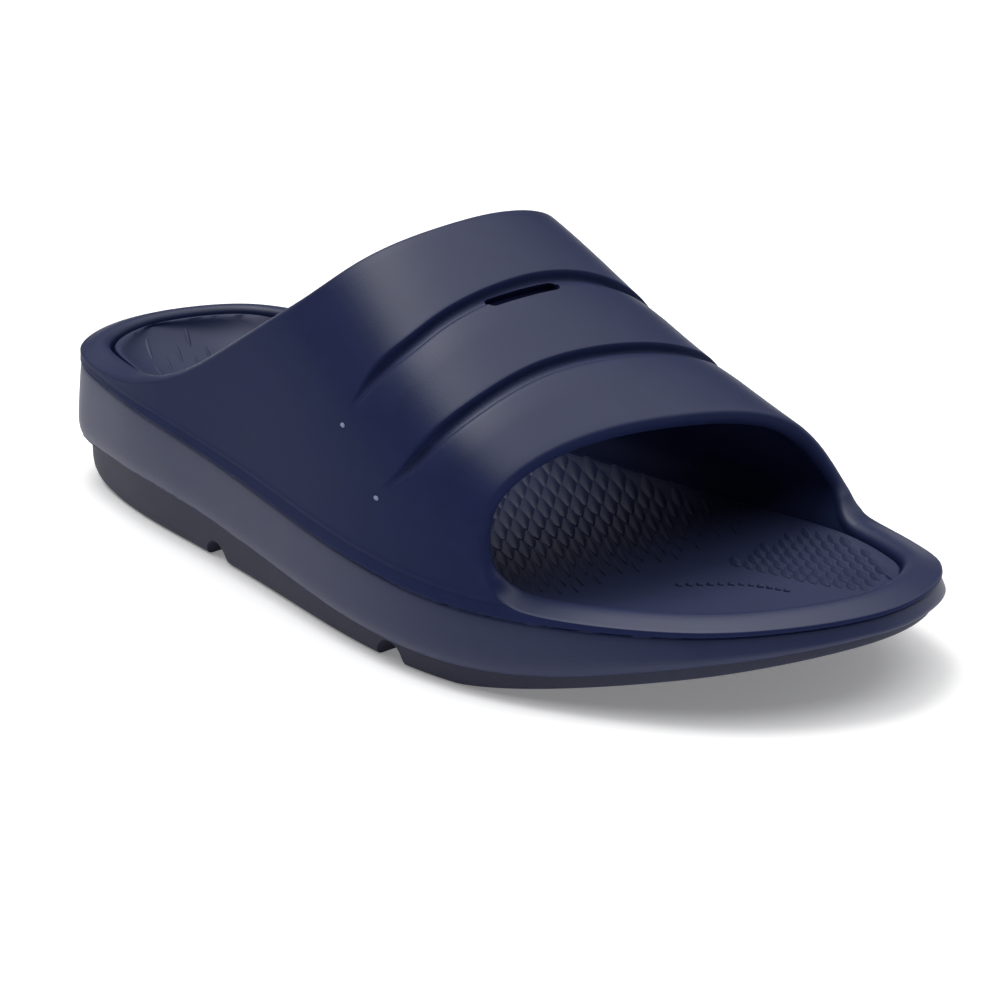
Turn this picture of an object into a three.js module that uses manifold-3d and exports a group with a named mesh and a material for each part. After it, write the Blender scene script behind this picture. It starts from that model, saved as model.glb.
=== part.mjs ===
// Sport slide sandal, right shoe: outsole, midsole, insole and a one-piece upper (strap and rim).
// Millimetres, +Z up. The toe points to -Y, the lateral side faces -X, and the sole stands on Z = 0.
import * as THREE from 'three';
import { mergeVertices } from 'three/addons/utils/BufferGeometryUtils.js';
import Module from 'manifold-3d';

// Driving sizes of the whole shoe
const shoeLength = 290;
const heelWidth = 80;
const ballWidth = 112;
const instepHeight = 101; // crown of the strap at its rear edge, above the floor
const heelStack = 35; // line between midsole and upper, above the floor at the heel
const ballStack = 22; // the same line at the ball of the foot
const toeSpring = 18; // underside of the toe tip above the floor
const toeSpringLength = 87; // length of the lifted toe, back from its tip
const heelBevel = 9; // underside of the heel end above the floor
const heelBevelLength = 40; // length of the lifted heel edge

// Driving sizes of the walls and joints
const seam = 0.3; // gap between pieces that are bonded
const rimWidth = 9.5; // width of the upper's rim where it stands on the midsole
const strapWall = 4.5; // thickness of the strap
const rimBlend = 12; // height over which the rim's width thins to the strap's wall
const rimFall = 1.6; // how far the rim's inner edge lies below its outer edge
const lipRise = 2.4; // how far the upper's free edges are rounded up over the rim
const lipLean = 0.75; // how far the crest of that rounding leans to the inner side on the rim
const beadSwell = 0.8; // how far the rim's bead swells out above the joint line
const heelBead = 0.16; // the same at the heel end
const beadFoot = 1.8; // height over which it swells out
const beadCrest = 4; // height at which it turns back in
const beadHeight = 6; // height of the whole bead
const sideSwell = 1.6; // how far the midsole's side swells past the joint line
const stepTuck = 0.6; // how far the midsole's lower edge tucks in
const outsoleTuck = 1.8; // how far the outsole's side lies inside the outline
const outsoleEdge = 4; // the same at the floor, where the edge is rounded
const insoleHeel = 6; // thickness of the insole under the heel
const insoleToe = 3; // and under the toes
const insoleRound = 0.6; // rounding of its upper edge
const footbedEdge = 1.5; // footbed edge above the joint line
const heelCup = 7; // depth of the footbed's dish at the heel
const toeCup = 1.6; // and at the toe

// Driving sizes of the cuts
const grooveWidth = 5;
const grooveDepth = 2.4;
const grooveLip = 0.8; // depth at the groove's front side
const grooveStart = 0.15; // share of its length over which a groove fades out on the lateral side
const grooveEnd = 0.35; // the same on the medial side
const slotWidth = 3.6;
const channelWidth = 12; // channels across the outsole
const channelHeight = 5.5;
const rearChannel = 92; // from the heel end
const frontChannel = 179.7;
const cutterReach = 1.5; // how far a cutter reaches past the face that it cuts

// Fineness of the faceted surfaces
const rearColumns = 20;
const strapColumns = 10;
const frontColumns = 18;
const crossRows = 18;
const lipRows = 4;
const flatRungs = 4;
const footbedRungs = 8;

// Sections from the heel tip to the toe tip. Each joins a point of the lateral side to one of the
// medial side: at = share of the length, out = share of the local width, ball = how far the local
// width has passed from the heel's to the ball's, crown = share of the instep height, wall and
// shoulder = how upright the arch starts and how square it turns on each side.
const sectionColumns = [
  'lateralAt', 'lateralOut', 'medialAt', 'medialOut', 'ball',
  'crown', 'lateralWall', 'lateralShoulder', 'medialWall', 'medialShoulder',
];
const sectionRows = [
  [0.000, 0.000, 0.000, 0.000, 0, 1.19, 1.1, 0.85, 1.10, 0.75],
  [0.031, 0.300, 0.031, 0.344, 0, 1.19, 1.1, 0.85, 1.10, 0.75],
  [0.093, 0.416, 0.093, 0.490, 0, 1.19, 1.1, 0.85, 1.10, 0.75],
  [0.179, 0.491, 0.183, 0.509, 0, 1.19, 1.1, 0.85, 1.10, 0.75],
  [0.283, 0.545, 0.290, 0.473, 0, 1.17, 1.1, 0.85, 1.10, 0.75],
  [0.393, 0.506, 0.407, 0.377, 0.5, 1.14, 1.1, 0.85, 1.10, 0.75],
  [0.503, 0.485, 0.524, 0.364, 1, 1.052, 1.1, 0.85, 1.10, 0.75],
  [0.610, 0.520, 0.638, 0.432, 1, 0.87, 1.1, 0.95, 1.00, 0.60],
  [0.710, 0.509, 0.745, 0.477, 1, 0.69, 1.1, 1.10, 1.00, 0.48],
  [0.800, 0.438, 0.838, 0.483, 1, 0.535, 1.1, 1.10, 1.00, 0.60],
  [0.883, 0.329, 0.914, 0.428, 1, 0.455, 1.1, 1.00, 1.00, 0.75],
  [0.952, 0.183, 0.970, 0.322, 1, 0.415, 1.1, 0.90, 1.10, 0.75],
  [1.000, -0.076, 1.000, 0.076, 1, 0.415, 1.1, 0.90, 1.10, 0.75],
];

// Side profile at every tenth of the length. Joint line: heel = how much of the step from ball to
// heel stack is left, toe = share of the toe spring. Outsole's upper edge: stack = share of the
// heel stack, lift = share of the toe spring. dish = depth of the footbed between toe and heel cup.
const profileColumns = ['heel', 'toe', 'stack', 'lift', 'dish'];
const profileRows = [
  [1.02, 0, 0.33, 0, 0.6],
  [0.95, 0, 0.375, 0, 1],
  [0.85, 0, 0.388, 0, 0.95],
  [0.69, 0, 0.355, 0, 0.75],
  [0.50, 0, 0.30, 0, 0.5],
  [0.31, 0, 0.24, 0, 0.35],
  [0.15, 0, 0.195, 0, 0.3],
  [0.02, 0, 0.18, 0, 0.3],
  [0.00, 0, 0.18, 0.12, 0.25],
  [0.00, 0.045, 0.18, 0.45, 0.1],
  [0.00, 0.18, 0.20, 0.75, 0],
];

// Free edges of the upper: section = place along the section table, over = share of the way over
// the arch from the lateral joint line to the medial one. Both start at the sandal's end.
const edgeColumns = ['section', 'over'];
const rearEdgeRows = [
  [0, 0.007], [1.4, 0.007], [2.6, 0.010], [3.6, 0.028], [4.5, 0.069], [5.4, 0.137],
  [6.03, 0.24], [6.3, 0.40], [6.3, 0.55], [6.14, 0.70], [5.73, 0.818],
  [5.0, 0.900], [4.2, 0.951], [3.3, 0.980], [2.4, 0.991], [1.2, 0.993], [0, 0.993],
];
const rearTurn = [6, 10]; // rows of the rear edge where the side wall ends and the strap begins
const frontEdgeRows = [
  [12, 0.014], [10.9, 0.014], [9.8, 0.012], [8.95, 0.012], [8.5, 0.022], [8.31, 0.06],
  [8.28, 0.13], [8.36, 0.24], [8.39, 0.36], [8.40, 0.48], [8.42, 0.60], [8.40, 0.72],
  [8.39, 0.82], [8.49, 0.905],
  [8.66, 0.955], [9.0, 0.984], [9.9, 0.987], [11.0, 0.986], [12, 0.986],
];
const frontTurn = [5, 13];

// Grooves across the strap, from the lateral end to the medial end
const rearGrooveRows = [
  [6.62, 0.125], [6.80, 0.185], [6.94, 0.255], [7.00, 0.340], [6.97, 0.460],
  [6.92, 0.570], [6.90, 0.690], [6.88, 0.790], [6.84, 0.870], [6.79, 0.940],
];
const frontGrooveRows = [
  [7.10, 0.075], [7.42, 0.130], [7.68, 0.230], [7.76, 0.340], [7.72, 0.450],
  [7.69, 0.570], [7.65, 0.690], [7.56, 0.790], [7.47, 0.870], [7.38, 0.940],
];
const slotEnds = [{ at: 7.055, over: 0.445 }, { at: 7.01, over: 0.573 }];

// Colour of the moulded foam
const navy = 0x2b3150;

const lateral = 1;
const medial = -1;
const lastSection = sectionRows.length - 1;
const lerp = THREE.MathUtils.lerp;
const clamp = THREE.MathUtils.clamp;
const smooth = (value) => THREE.MathUtils.smoothstep(value, 0, 1);

// A smooth curve through values at 0, 1, 2 and so on: a cubic B-spline whose control values are
// found by averaging passes. A closed curve runs on from its last value to its first.
function curveThrough(values, closed = false) {
  const count = values.length;
  const neighbour = (list, index) => {
    if (closed) return list[(index + count) % count];
    if (index < 0) return 2 * list[0] - list[1];
    if (index >= count) return 2 * list[count - 1] - list[count - 2];
    return list[index];
  };
  let control = [...values];
  for (let pass = 0; pass < 50; pass += 1) {
    const last = control;
    control = values.map((value, i) => (6 * value - neighbour(last, i - 1) - neighbour(last, i + 1)) / 4);
  }
  return (at) => {
    const place = closed ? at : clamp(at, 0, count - 1);
    const i = Math.floor(place);
    const t = place - i;
    const weights = [(1 - t) ** 3, 3 * t ** 3 - 6 * t ** 2 + 4, -3 * t ** 3 + 3 * t ** 2 + 3 * t + 1, t ** 3];
    return weights.reduce((sum, weight, k) => sum + (weight * neighbour(control, i - 1 + k)) / 6, 0);
  };
}

function tableCurves(columns, rows) {
  return Object.fromEntries(columns.map((name, k) => [name, curveThrough(rows.map((row) => row[k]))]));
}

const section = tableCurves(sectionColumns, sectionRows);
const profile = tableCurves(profileColumns, profileRows);
const rearEdge = tableCurves(edgeColumns, rearEdgeRows);
const frontEdge = tableCurves(edgeColumns, frontEdgeRows);

// Heights along the length, where along is measured from the heel end
const tenth = (along) => clamp((10 * along) / shoeLength, 0, 10);

function jointHeight(along) {
  const at = tenth(along);
  return ballStack + (heelStack - ballStack) * profile.heel(at) + toeSpring * profile.toe(at);
}

function stepHeight(along) {
  const at = tenth(along);
  return heelStack * profile.stack(at) + toeSpring * profile.lift(at);
}

function floorHeight(along) {
  const heel = clamp(1 - along / heelBevelLength, 0, 1);
  const toe = clamp((along - shoeLength + toeSpringLength) / toeSpringLength, 0, 1);
  return heelBevel * heel ** 2.4 + toeSpring * toe ** 1.25;
}

// The sole's outline: one closed curve through the lateral and then the medial points
const outlinePoints = [
  ...sectionRows.map((row) => ({ along: row[0], out: row[1], ball: row[4] })),
  ...sectionRows.slice(1, -1).reverse().map((row) => ({ along: row[2], out: -row[3], ball: row[4] })),
];
const outlineAlong = curveThrough(outlinePoints.map((point) => point.along * shoeLength), true);
const outlineOut = curveThrough(
  outlinePoints.map((point) => point.out * lerp(heelWidth, ballWidth, point.ball)),
  true,
);

// A point of the outline moved inwards by inset
function outlinePoint(side, at, inset = 0) {
  const turn = side === lateral ? at : 2 * lastSection - at;
  const small = 0.001;
  const along = outlineAlong(turn + small) - outlineAlong(turn - small);
  const out = outlineOut(turn + small) - outlineOut(turn - small);
  const length = Math.hypot(along, out);
  return {
    along: outlineAlong(turn) + (inset * out) / length,
    out: outlineOut(turn) - (inset * along) / length,
  };
}

const place = (along, out, height) => new THREE.Vector3(-out, shoeLength / 2 - along, height);

// The upper's outer face without its bead: an arch over the section at, from the lateral joint
// line (over = 0) to the medial one (over = 1), as a curve of six control points.
function archPoint(at, over) {
  const near = outlinePoint(lateral, at);
  const far = outlinePoint(medial, at);
  const wall = section.lateralWall(at);
  const farWall = section.medialWall(at);
  const top = (32 - 5 * (wall + farWall)) / 20; // puts the middle of the arch at its full height
  const sideways = [1, 1, section.lateralShoulder(at), -section.medialShoulder(at), -1, -1];
  const upwards = [0, wall, top, top, farWall, 0];
  const binomial = [1, 5, 10, 10, 5, 1];
  const weights = binomial.map((factor, k) => factor * over ** k * (1 - over) ** (5 - k));
  const across = weights.reduce((sum, weight, k) => sum + weight * sideways[k], 0);
  const up = weights.reduce((sum, weight, k) => sum + weight * upwards[k], 0);
  const along = lerp(far.along, near.along, (1 + across) / 2);
  const out = lerp(far.out, near.out, (1 + across) / 2);
  const base = jointHeight(along);
  return place(along, out, base + (section.crown(at) * instepHeight - base) * up);
}

function archNormal(at, over) {
  const small = 0.002;
  const low = over < 0.5 ? over : over - small;
  const forward = archPoint(Math.min(at + small, lastSection), over);
  forward.sub(archPoint(Math.max(at - small, 0), over));
  const across = archPoint(at, low + small).sub(archPoint(at, low));
  return across.cross(forward).normalize().negate();
}

const heightOverJoint = (point) => point.z - jointHeight(shoeLength / 2 - point.y);

// Outer face of the upper: the arch with the rim's bead swelling out low on its side
function outerPoint(at, over) {
  const point = archPoint(at, over);
  const height = heightOverJoint(point);
  const full = lerp(heelBead, beadSwell, smooth((shoeLength / 2 - point.y) / heelWidth));
  const fall = smooth((height - beadCrest) / (beadHeight - beadCrest));
  const swell = full * smooth(height / beadFoot) * (1 - fall);
  return point.addScaledVector(archNormal(at, over), swell);
}

// Inner face of the upper: the arch moved in by a wall that widens into the rim
function innerPoint(at, over) {
  const point = archPoint(at, over);
  const height = heightOverJoint(point);
  const low = 1 - smooth(height / rimBlend);
  point.addScaledVector(archNormal(at, over), -lerp(strapWall, rimWidth, low));
  point.z -= rimFall * low * clamp(height / lipRise, 0, 1);
  return point;
}

// Collects vertices and faces of one closed body
class Body {
  constructor() {
    this.positions = [];
    this.faces = [];
  }

  add(point) {
    this.positions.push(point.x, point.y, point.z);
    return this.positions.length / 3 - 1;
  }

  triangle(a, b, c) {
    if (a !== b && b !== c && c !== a) this.faces.push(a, b, c);
  }

  quad(a, b, c, d) {
    this.triangle(a, b, c);
    this.triangle(a, c, d);
  }

  // Faces between two rows of vertices of the same length
  strip(first, second, closed = false) {
    const count = closed ? first.length : first.length - 1;
    for (let i = 0; i < count; i += 1) {
      const next = (i + 1) % first.length;
      this.quad(first[i], first[next], second[next], second[i]);
    }
  }

  geometry() {
    const geometry = new THREE.BufferGeometry();
    geometry.setAttribute('position', new THREE.Float32BufferAttribute(this.positions, 3));
    geometry.setIndex(this.faces);
    return geometry;
  }
}

// Columns stand along both sides of the sandal, the same ones in every piece. In the upper each runs
// up to a free edge, and over the strap they join across the top.
function edgePoint(edge, row) {
  return { at: edge.section(row), over: edge.over(row) };
}

const mix = (from, to, share) => ({ at: lerp(from.at, to.at, share), over: lerp(from.over, to.over, share) });

// Top of each column: on the rear edge, along the shoulder of the strap, or on the front edge
function columnTops(side) {
  const end = side === lateral ? 0 : 1;
  const rearEnd = side === lateral ? 0 : rearEdgeRows.length - 1;
  const frontEnd = side === lateral ? 0 : frontEdgeRows.length - 1;
  const tops = [];
  for (let k = 0; k < rearColumns; k += 1) {
    tops.push(edgePoint(rearEdge, lerp(rearEnd, rearTurn[end], k / rearColumns)));
  }
  const rearCorner = edgePoint(rearEdge, rearTurn[end]);
  const frontCorner = edgePoint(frontEdge, frontTurn[end]);
  for (let k = 0; k <= strapColumns; k += 1) {
    tops.push(mix(rearCorner, frontCorner, k / strapColumns));
  }
  for (let k = 1; k <= frontColumns; k += 1) {
    tops.push(edgePoint(frontEdge, lerp(frontTurn[end], frontEnd, k / frontColumns)));
  }
  return tops;
}

const lastColumn = rearColumns + strapColumns + frontColumns;
const around = 2 * lastColumn;
const columns = { [lateral]: columnTops(lateral), [medial]: columnTops(medial) };

// Every column once round the sandal, from the heel tip along the lateral side to the toe tip
const stations = Array.from({ length: around }, (_, i) => {
  const side = i <= lastColumn ? lateral : medial;
  return { side, top: columns[side][side === lateral ? i : around - i] };
});

// Sole pieces: rings of points that follow the outline, closed by a ladder of rungs at each end
function ring(inset, height) {
  return stations.map(({ side, top }) => {
    const point = outlinePoint(side, top.at, inset);
    return place(point.along, point.out, height(point.along, 1));
  });
}

// Closes a ring with rungs from the lateral to the medial side. height gets the distance along
// the foot and the share of the way from the middle to the edge.
function addCap(body, ringVertices, inset, height, rungs, upward) {
  const rows = [];
  for (let k = 0; k <= lastColumn; k += 1) {
    const near = outlinePoint(lateral, columns[lateral][k].at, inset);
    const far = outlinePoint(medial, columns[medial][k].at, inset);
    const row = [];
    for (let j = 0; j <= rungs; j += 1) {
      const share = j / rungs;
      if (j === 0 || k === 0 || k === lastColumn) {
        row.push(ringVertices[k]);
      } else if (j === rungs) {
        row.push(ringVertices[around - k]);
      } else {
        const along = lerp(near.along, far.along, share);
        const edge = Math.abs(2 * share - 1);
        row.push(body.add(place(along, lerp(near.out, far.out, share), height(along, edge))));
      }
    }
    rows.push(row);
  }
  for (let k = 0; k < lastColumn; k += 1) {
    if (upward) body.strip(rows[k + 1], rows[k]);
    else body.strip(rows[k], rows[k + 1]);
  }
}

// A body from rings listed from its underside, round its side, to its top
function solePiece(layers, bottomHeight, topHeight, bottomRungs, topRungs) {
  const body = new Body();
  const rings = layers.map(({ inset, height }) => ring(inset, height).map((point) => body.add(point)));
  for (let i = 0; i + 1 < rings.length; i += 1) {
    body.strip(rings[i], rings[i + 1], true);
  }
  addCap(body, rings[0], layers[0].inset, bottomHeight, bottomRungs, false);
  addCap(body, rings[rings.length - 1], layers[layers.length - 1].inset, topHeight, topRungs, true);
  return body.geometry();
}

const between = (low, high, share) => (along, edge) => lerp(low(along, edge), high(along, edge), share);
const raised = (height, by) => (along, edge) => height(along, edge) + by;

function buildOutsole() {
  const top = raised(stepHeight, -seam / 2);
  const layers = [
    { inset: outsoleEdge, height: floorHeight },
    { inset: lerp(outsoleTuck, outsoleEdge, 0.25), height: between(floorHeight, top, 0.12) },
    { inset: outsoleTuck, height: between(floorHeight, top, 0.4) },
    { inset: outsoleTuck, height: top },
  ];
  return solePiece(layers, floorHeight, top, flatRungs, flatRungs);
}

// The footbed dips between its edges, most of all in the heel cup
function footbedHeight(along, edge) {
  const depth = toeCup + (heelCup - toeCup) * profile.dish(tenth(along));
  return jointHeight(along) + footbedEdge - depth * (1 - edge ** 2.6);
}

function pocketHeight(along, edge) {
  const thickness = lerp(insoleHeel, insoleToe, smooth(along / shoeLength));
  return footbedHeight(along, edge) - thickness;
}

function buildMidsole() {
  const bottom = raised(stepHeight, seam / 2);
  const top = raised(jointHeight, -seam / 2);
  const side = [
    { share: 0, inset: stepTuck },
    { share: 0.06, inset: -0.4 * sideSwell },
    { share: 0.14, inset: -0.88 * sideSwell },
    { share: 0.25, inset: -sideSwell },
    { share: 0.6, inset: -0.6 * sideSwell },
    { share: 1, inset: 0 },
  ];
  const layers = side.map(({ share, inset }) => ({ inset, height: between(bottom, top, share) }));
  layers.push({ inset: rimWidth, height: top });
  layers.push({ inset: rimWidth, height: pocketHeight });
  return solePiece(layers, bottom, pocketHeight, flatRungs, footbedRungs);
}

function buildInsole() {
  const underside = raised(pocketHeight, seam);
  const inset = rimWidth + seam;
  const layers = [
    { inset, height: underside },
    { inset, height: raised(footbedHeight, -insoleRound) },
    { inset: inset + insoleRound, height: footbedHeight },
  ];
  return solePiece(layers, underside, footbedHeight, footbedRungs, footbedRungs);
}

// Shares of the way up a column: three rows shape the bead, the others are evenly spaced
const beadRows = [beadFoot / beadHeight, beadCrest / beadHeight, 1];
const wallRows = 4;

function columnPlaces(top, side) {
  const base = side === lateral ? 0 : 1;
  const rise = Math.abs(top.over - base);
  const wall = side === lateral ? section.lateralWall(top.at) : section.medialWall(top.at);
  const bead = beadHeight / (5 * wall * (section.crown(top.at) * instepHeight - ballStack));
  const bends = beadRows.map((share) => Math.min(bead * share, 0.5 * share * rise));
  const rises = [0, ...bends];
  for (let k = 1; k <= wallRows; k += 1) {
    rises.push(lerp(bends[bends.length - 1], rise, k / wallRows));
  }
  return rises.map((value) => ({ at: top.at, over: Math.abs(base - value) }));
}

function buildUpper() {
  const body = new Body();
  const outer = [];
  const inner = [];
  for (const { side, top } of stations) {
    const places = columnPlaces(top, side);
    outer.push(places.map(({ at, over }, row) => {
      const point = outerPoint(at, over);
      if (row === 0) point.z += seam / 2;
      return body.add(point);
    }));
    inner.push(places.map(({ at, over }, row) => {
      if (row > 0) return body.add(innerPoint(at, over));
      const foot = outlinePoint(side, at, rimWidth);
      return body.add(place(foot.along, foot.out, jointHeight(foot.along) + seam / 2));
    }));
  }
  const topRow = outer[0].length - 1;
  const rearColumn = rearColumns;
  const frontColumn = rearColumns + strapColumns;

  // Strap between the two shoulders
  const strapOuter = [];
  const strapInner = [];
  for (let k = rearColumn; k <= frontColumn; k += 1) {
    const share = (k - rearColumn) / strapColumns;
    const outerRow = [outer[k][topRow]];
    const innerRow = [inner[k][topRow]];
    for (let m = 1; m < crossRows; m += 1) {
      const rear = edgePoint(rearEdge, lerp(...rearTurn, m / crossRows));
      const front = edgePoint(frontEdge, lerp(...frontTurn, m / crossRows));
      const { at, over } = mix(rear, front, share);
      outerRow.push(body.add(outerPoint(at, over)));
      innerRow.push(body.add(innerPoint(at, over)));
    }
    outerRow.push(outer[around - k][topRow]);
    innerRow.push(inner[around - k][topRow]);
    strapOuter.push(outerRow);
    strapInner.push(innerRow);
  }
  for (let k = 0; k < strapColumns; k += 1) {
    body.strip(strapOuter[k + 1], strapOuter[k]);
    body.strip(strapInner[k], strapInner[k + 1]);
  }

  // Side walls and the rim's underside
  for (let c = 0; c < around; c += 1) {
    const next = (c + 1) % around;
    body.strip(outer[next], outer[c]);
    body.strip(inner[c], inner[next]);
    body.quad(inner[next][0], outer[next][0], outer[c][0], inner[c][0]);
  }

  // Rounded lips round the foot opening and the toe opening
  const vector = (index) => new THREE.Vector3().fromArray(body.positions, 3 * index);
  const addLip = (outerLoop, innerLoop) => {
    const count = outerLoop.length;
    const rows = [outerLoop];
    const outerAt = outerLoop.map(vector);
    const innerAt = innerLoop.map(vector);
    const lipPoints = outerAt.map((point, i) => {
      const tangent = outerAt[(i + 1) % count].clone().sub(outerAt[(i + count - 1) % count]);
      const through = point.clone().sub(innerAt[i]);
      const away = through.clone().cross(tangent).normalize();
      const middle = point.clone().add(innerAt[i]).multiplyScalar(0.5);
      const thick = through.length();
      const rise = Math.min(lipRise, 0.42 * thick); // nearly half round on the thin strap
      const lean = lipLean * smooth((thick - strapWall) / (rimWidth - strapWall));
      return Array.from({ length: lipRows - 1 }, (_, q) => {
        const angle = (Math.PI * (q + 1)) / lipRows;
        const lip = middle.clone().addScaledVector(through, 0.5 * Math.cos(angle));
        const crest = rise * Math.sin(angle) * (1 - lean * Math.cos(angle));
        return body.add(lip.addScaledVector(away, crest));
      });
    });
    for (let q = 0; q < lipRows - 1; q += 1) {
      rows.push(lipPoints.map((points) => points[q]));
    }
    rows.push(innerLoop);
    for (let q = 0; q < lipRows; q += 1) {
      body.strip(rows[q], rows[q + 1], true);
    }
  };
  const rimLoop = (grid, from, count) => {
    return Array.from({ length: count }, (_, i) => grid[(from + i) % around][topRow]);
  };
  const rearRim = 2 * rearColumn + 1;
  const frontRim = 2 * frontColumns + 1;
  addLip(
    [...rimLoop(outer, around - rearColumn, rearRim), ...strapOuter[0].slice(1, -1)],
    [...rimLoop(inner, around - rearColumn, rearRim), ...strapInner[0].slice(1, -1)],
  );
  addLip(
    [...rimLoop(outer, frontColumn, frontRim), ...strapOuter[strapColumns].slice(1, -1).reverse()],
    [...rimLoop(inner, frontColumn, frontRim), ...strapInner[strapColumns].slice(1, -1).reverse()],
  );
  return body.geometry();
}

// A cutter that follows places on the strap. corners gives its cross-section at a share of the way,
// as steps forward along the foot and out of the surface.
function followingCutter(places, corners) {
  const body = new Body();
  const rows = places.map(({ at, over }, i) => {
    const origin = archPoint(at, over);
    const out = archNormal(at, over);
    const forward = archPoint(at + 0.02, over).sub(archPoint(at - 0.02, over)).normalize();
    return corners(i / (places.length - 1)).map(([ahead, above]) => {
      const point = origin.clone().addScaledVector(forward, ahead).addScaledVector(out, above);
      return body.add(point);
    });
  });
  for (let i = 0; i + 1 < rows.length; i += 1) {
    body.strip(rows[i + 1], rows[i], true);
  }
  const last = rows[rows.length - 1];
  body.quad(rows[0][0], rows[0][1], rows[0][2], rows[0][3]);
  body.quad(last[3], last[2], last[1], last[0]);
  return body.geometry();
}

function grooveCutter(rows, count) {
  const path = tableCurves(edgeColumns, rows);
  const places = Array.from({ length: count + 1 }, (_, i) => {
    return edgePoint(path, lerp(0, rows.length - 1, i / count));
  });
  return followingCutter(places, (share) => {
    const depth = smooth(share / grooveStart) * smooth((1 - share) / grooveEnd);
    const sunk = lerp(-seam, grooveDepth, depth);
    const lip = lerp(-seam, grooveLip, depth);
    const half = (grooveWidth / 2) * lerp(0.5, 1, depth);
    return [[half, cutterReach], [-0.8 * half, cutterReach], [-0.65 * half, -sunk], [half, -lip]];
  });
}

function slotCutter() {
  const count = 6;
  const places = Array.from({ length: count + 1 }, (_, i) => {
    return mix(slotEnds[0], slotEnds[1], i / count);
  });
  const half = slotWidth / 2;
  const deep = 2 * strapWall;
  return followingCutter(places, () => [[half, deep], [-half, deep], [-half, -deep], [half, -deep]]);
}

// A channel across the outsole: a round-topped bar that reaches past both sides
function channelCutter(along) {
  const half = channelWidth / 2;
  const shape = new THREE.Shape();
  shape.moveTo(-half, -cutterReach);
  shape.lineTo(half, -cutterReach);
  shape.quadraticCurveTo(0.9 * half, channelHeight, 0, channelHeight);
  shape.quadraticCurveTo(-0.9 * half, channelHeight, -half, -cutterReach);
  const settings = { depth: 2 * ballWidth, bevelEnabled: false, curveSegments: 6 };
  const geometry = new THREE.ExtrudeGeometry(shape, settings);
  geometry.translate(0, 0, -ballWidth);
  geometry.rotateX(Math.PI / 2);
  geometry.rotateZ(Math.PI / 2);
  geometry.translate(0, shoeLength / 2 - along, 0);
  return geometry;
}

const wasm = await Module();
wasm.setup();

function toManifold(geometry) {
  const bare = geometry.clone();
  bare.deleteAttribute('normal');
  bare.deleteAttribute('uv');
  const merged = mergeVertices(bare, 0.0001);
  const mesh = new wasm.Mesh({
    numProp: 3,
    vertProperties: new Float32Array(merged.attributes.position.array),
    triVerts: new Uint32Array(merged.index.array),
  });
  return new wasm.Manifold(mesh);
}

function cutAway(geometry, cutters) {
  const solid = cutters.reduce((left, cutter) => left.subtract(toManifold(cutter)), toManifold(geometry));
  const mesh = solid.getMesh();
  const result = new THREE.BufferGeometry();
  result.setAttribute('position', new THREE.BufferAttribute(mesh.vertProperties, 3));
  result.setIndex(new THREE.BufferAttribute(mesh.triVerts, 1));
  return result;
}

function foamMesh(name, geometry, roughness) {
  geometry.computeVertexNormals();
  const material = new THREE.MeshStandardMaterial({ color: navy, roughness, metalness: 0 });
  const mesh = new THREE.Mesh(geometry, material);
  mesh.name = name;
  return mesh;
}

const outsole = cutAway(buildOutsole(), [rearChannel, frontChannel].map(channelCutter));
const upper = cutAway(buildUpper(), [
  grooveCutter(rearGrooveRows, 24),
  grooveCutter(frontGrooveRows, 24),
  slotCutter(),
]);

const slide = new THREE.Group();
slide.add(foamMesh('outsole', outsole, 0.8));
slide.add(foamMesh('midsole', buildMidsole(), 0.65));
slide.add(foamMesh('insole', buildInsole(), 0.7));
slide.add(foamMesh('upper', upper, 0.6));

// Centre the plan on the origin; the floor stays at Z = 0
const centre = new THREE.Box3().setFromObject(slide).getCenter(new THREE.Vector3());
slide.position.set(-centre.x, -centre.y, 0);

export default slide;
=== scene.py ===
"""Looks of a slide sandal, right shoe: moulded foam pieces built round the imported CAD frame.

Sizes are millimetres here and become metres in the meshes. The toe points to -Y, the lateral side
faces -X and the sole stands on Z = 0, as in the frame.
"""
import logging
import math
from collections.abc import Callable
from dataclasses import dataclass, field
from enum import Enum, IntEnum

import bmesh
import bpy
import numpy as np
from mathutils import Matrix, Vector


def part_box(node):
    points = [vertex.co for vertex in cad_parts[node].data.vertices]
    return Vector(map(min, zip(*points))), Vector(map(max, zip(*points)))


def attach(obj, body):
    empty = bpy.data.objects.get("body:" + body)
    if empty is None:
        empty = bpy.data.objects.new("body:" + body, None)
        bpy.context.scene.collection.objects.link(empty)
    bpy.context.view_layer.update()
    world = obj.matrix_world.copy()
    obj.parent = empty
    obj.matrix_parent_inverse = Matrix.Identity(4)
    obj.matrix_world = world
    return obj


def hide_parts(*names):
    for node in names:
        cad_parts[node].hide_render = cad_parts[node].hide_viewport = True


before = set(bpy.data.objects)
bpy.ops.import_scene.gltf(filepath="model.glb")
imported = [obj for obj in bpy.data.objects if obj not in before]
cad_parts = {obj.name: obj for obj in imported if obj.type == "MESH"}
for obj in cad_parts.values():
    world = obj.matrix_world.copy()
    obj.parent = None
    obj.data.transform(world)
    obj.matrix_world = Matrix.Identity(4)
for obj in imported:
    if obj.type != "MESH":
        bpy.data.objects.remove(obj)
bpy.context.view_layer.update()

Array = np.ndarray
HeightRule = Callable[[Array, Array], Array]
MM = 0.001
BODY = "root"
log = logging.getLogger("slide")


class Side(IntEnum):
    """Sides of a right shoe; the value is the sign of the distance out from its middle line."""

    LATERAL = 1
    MEDIAL = -1


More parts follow.
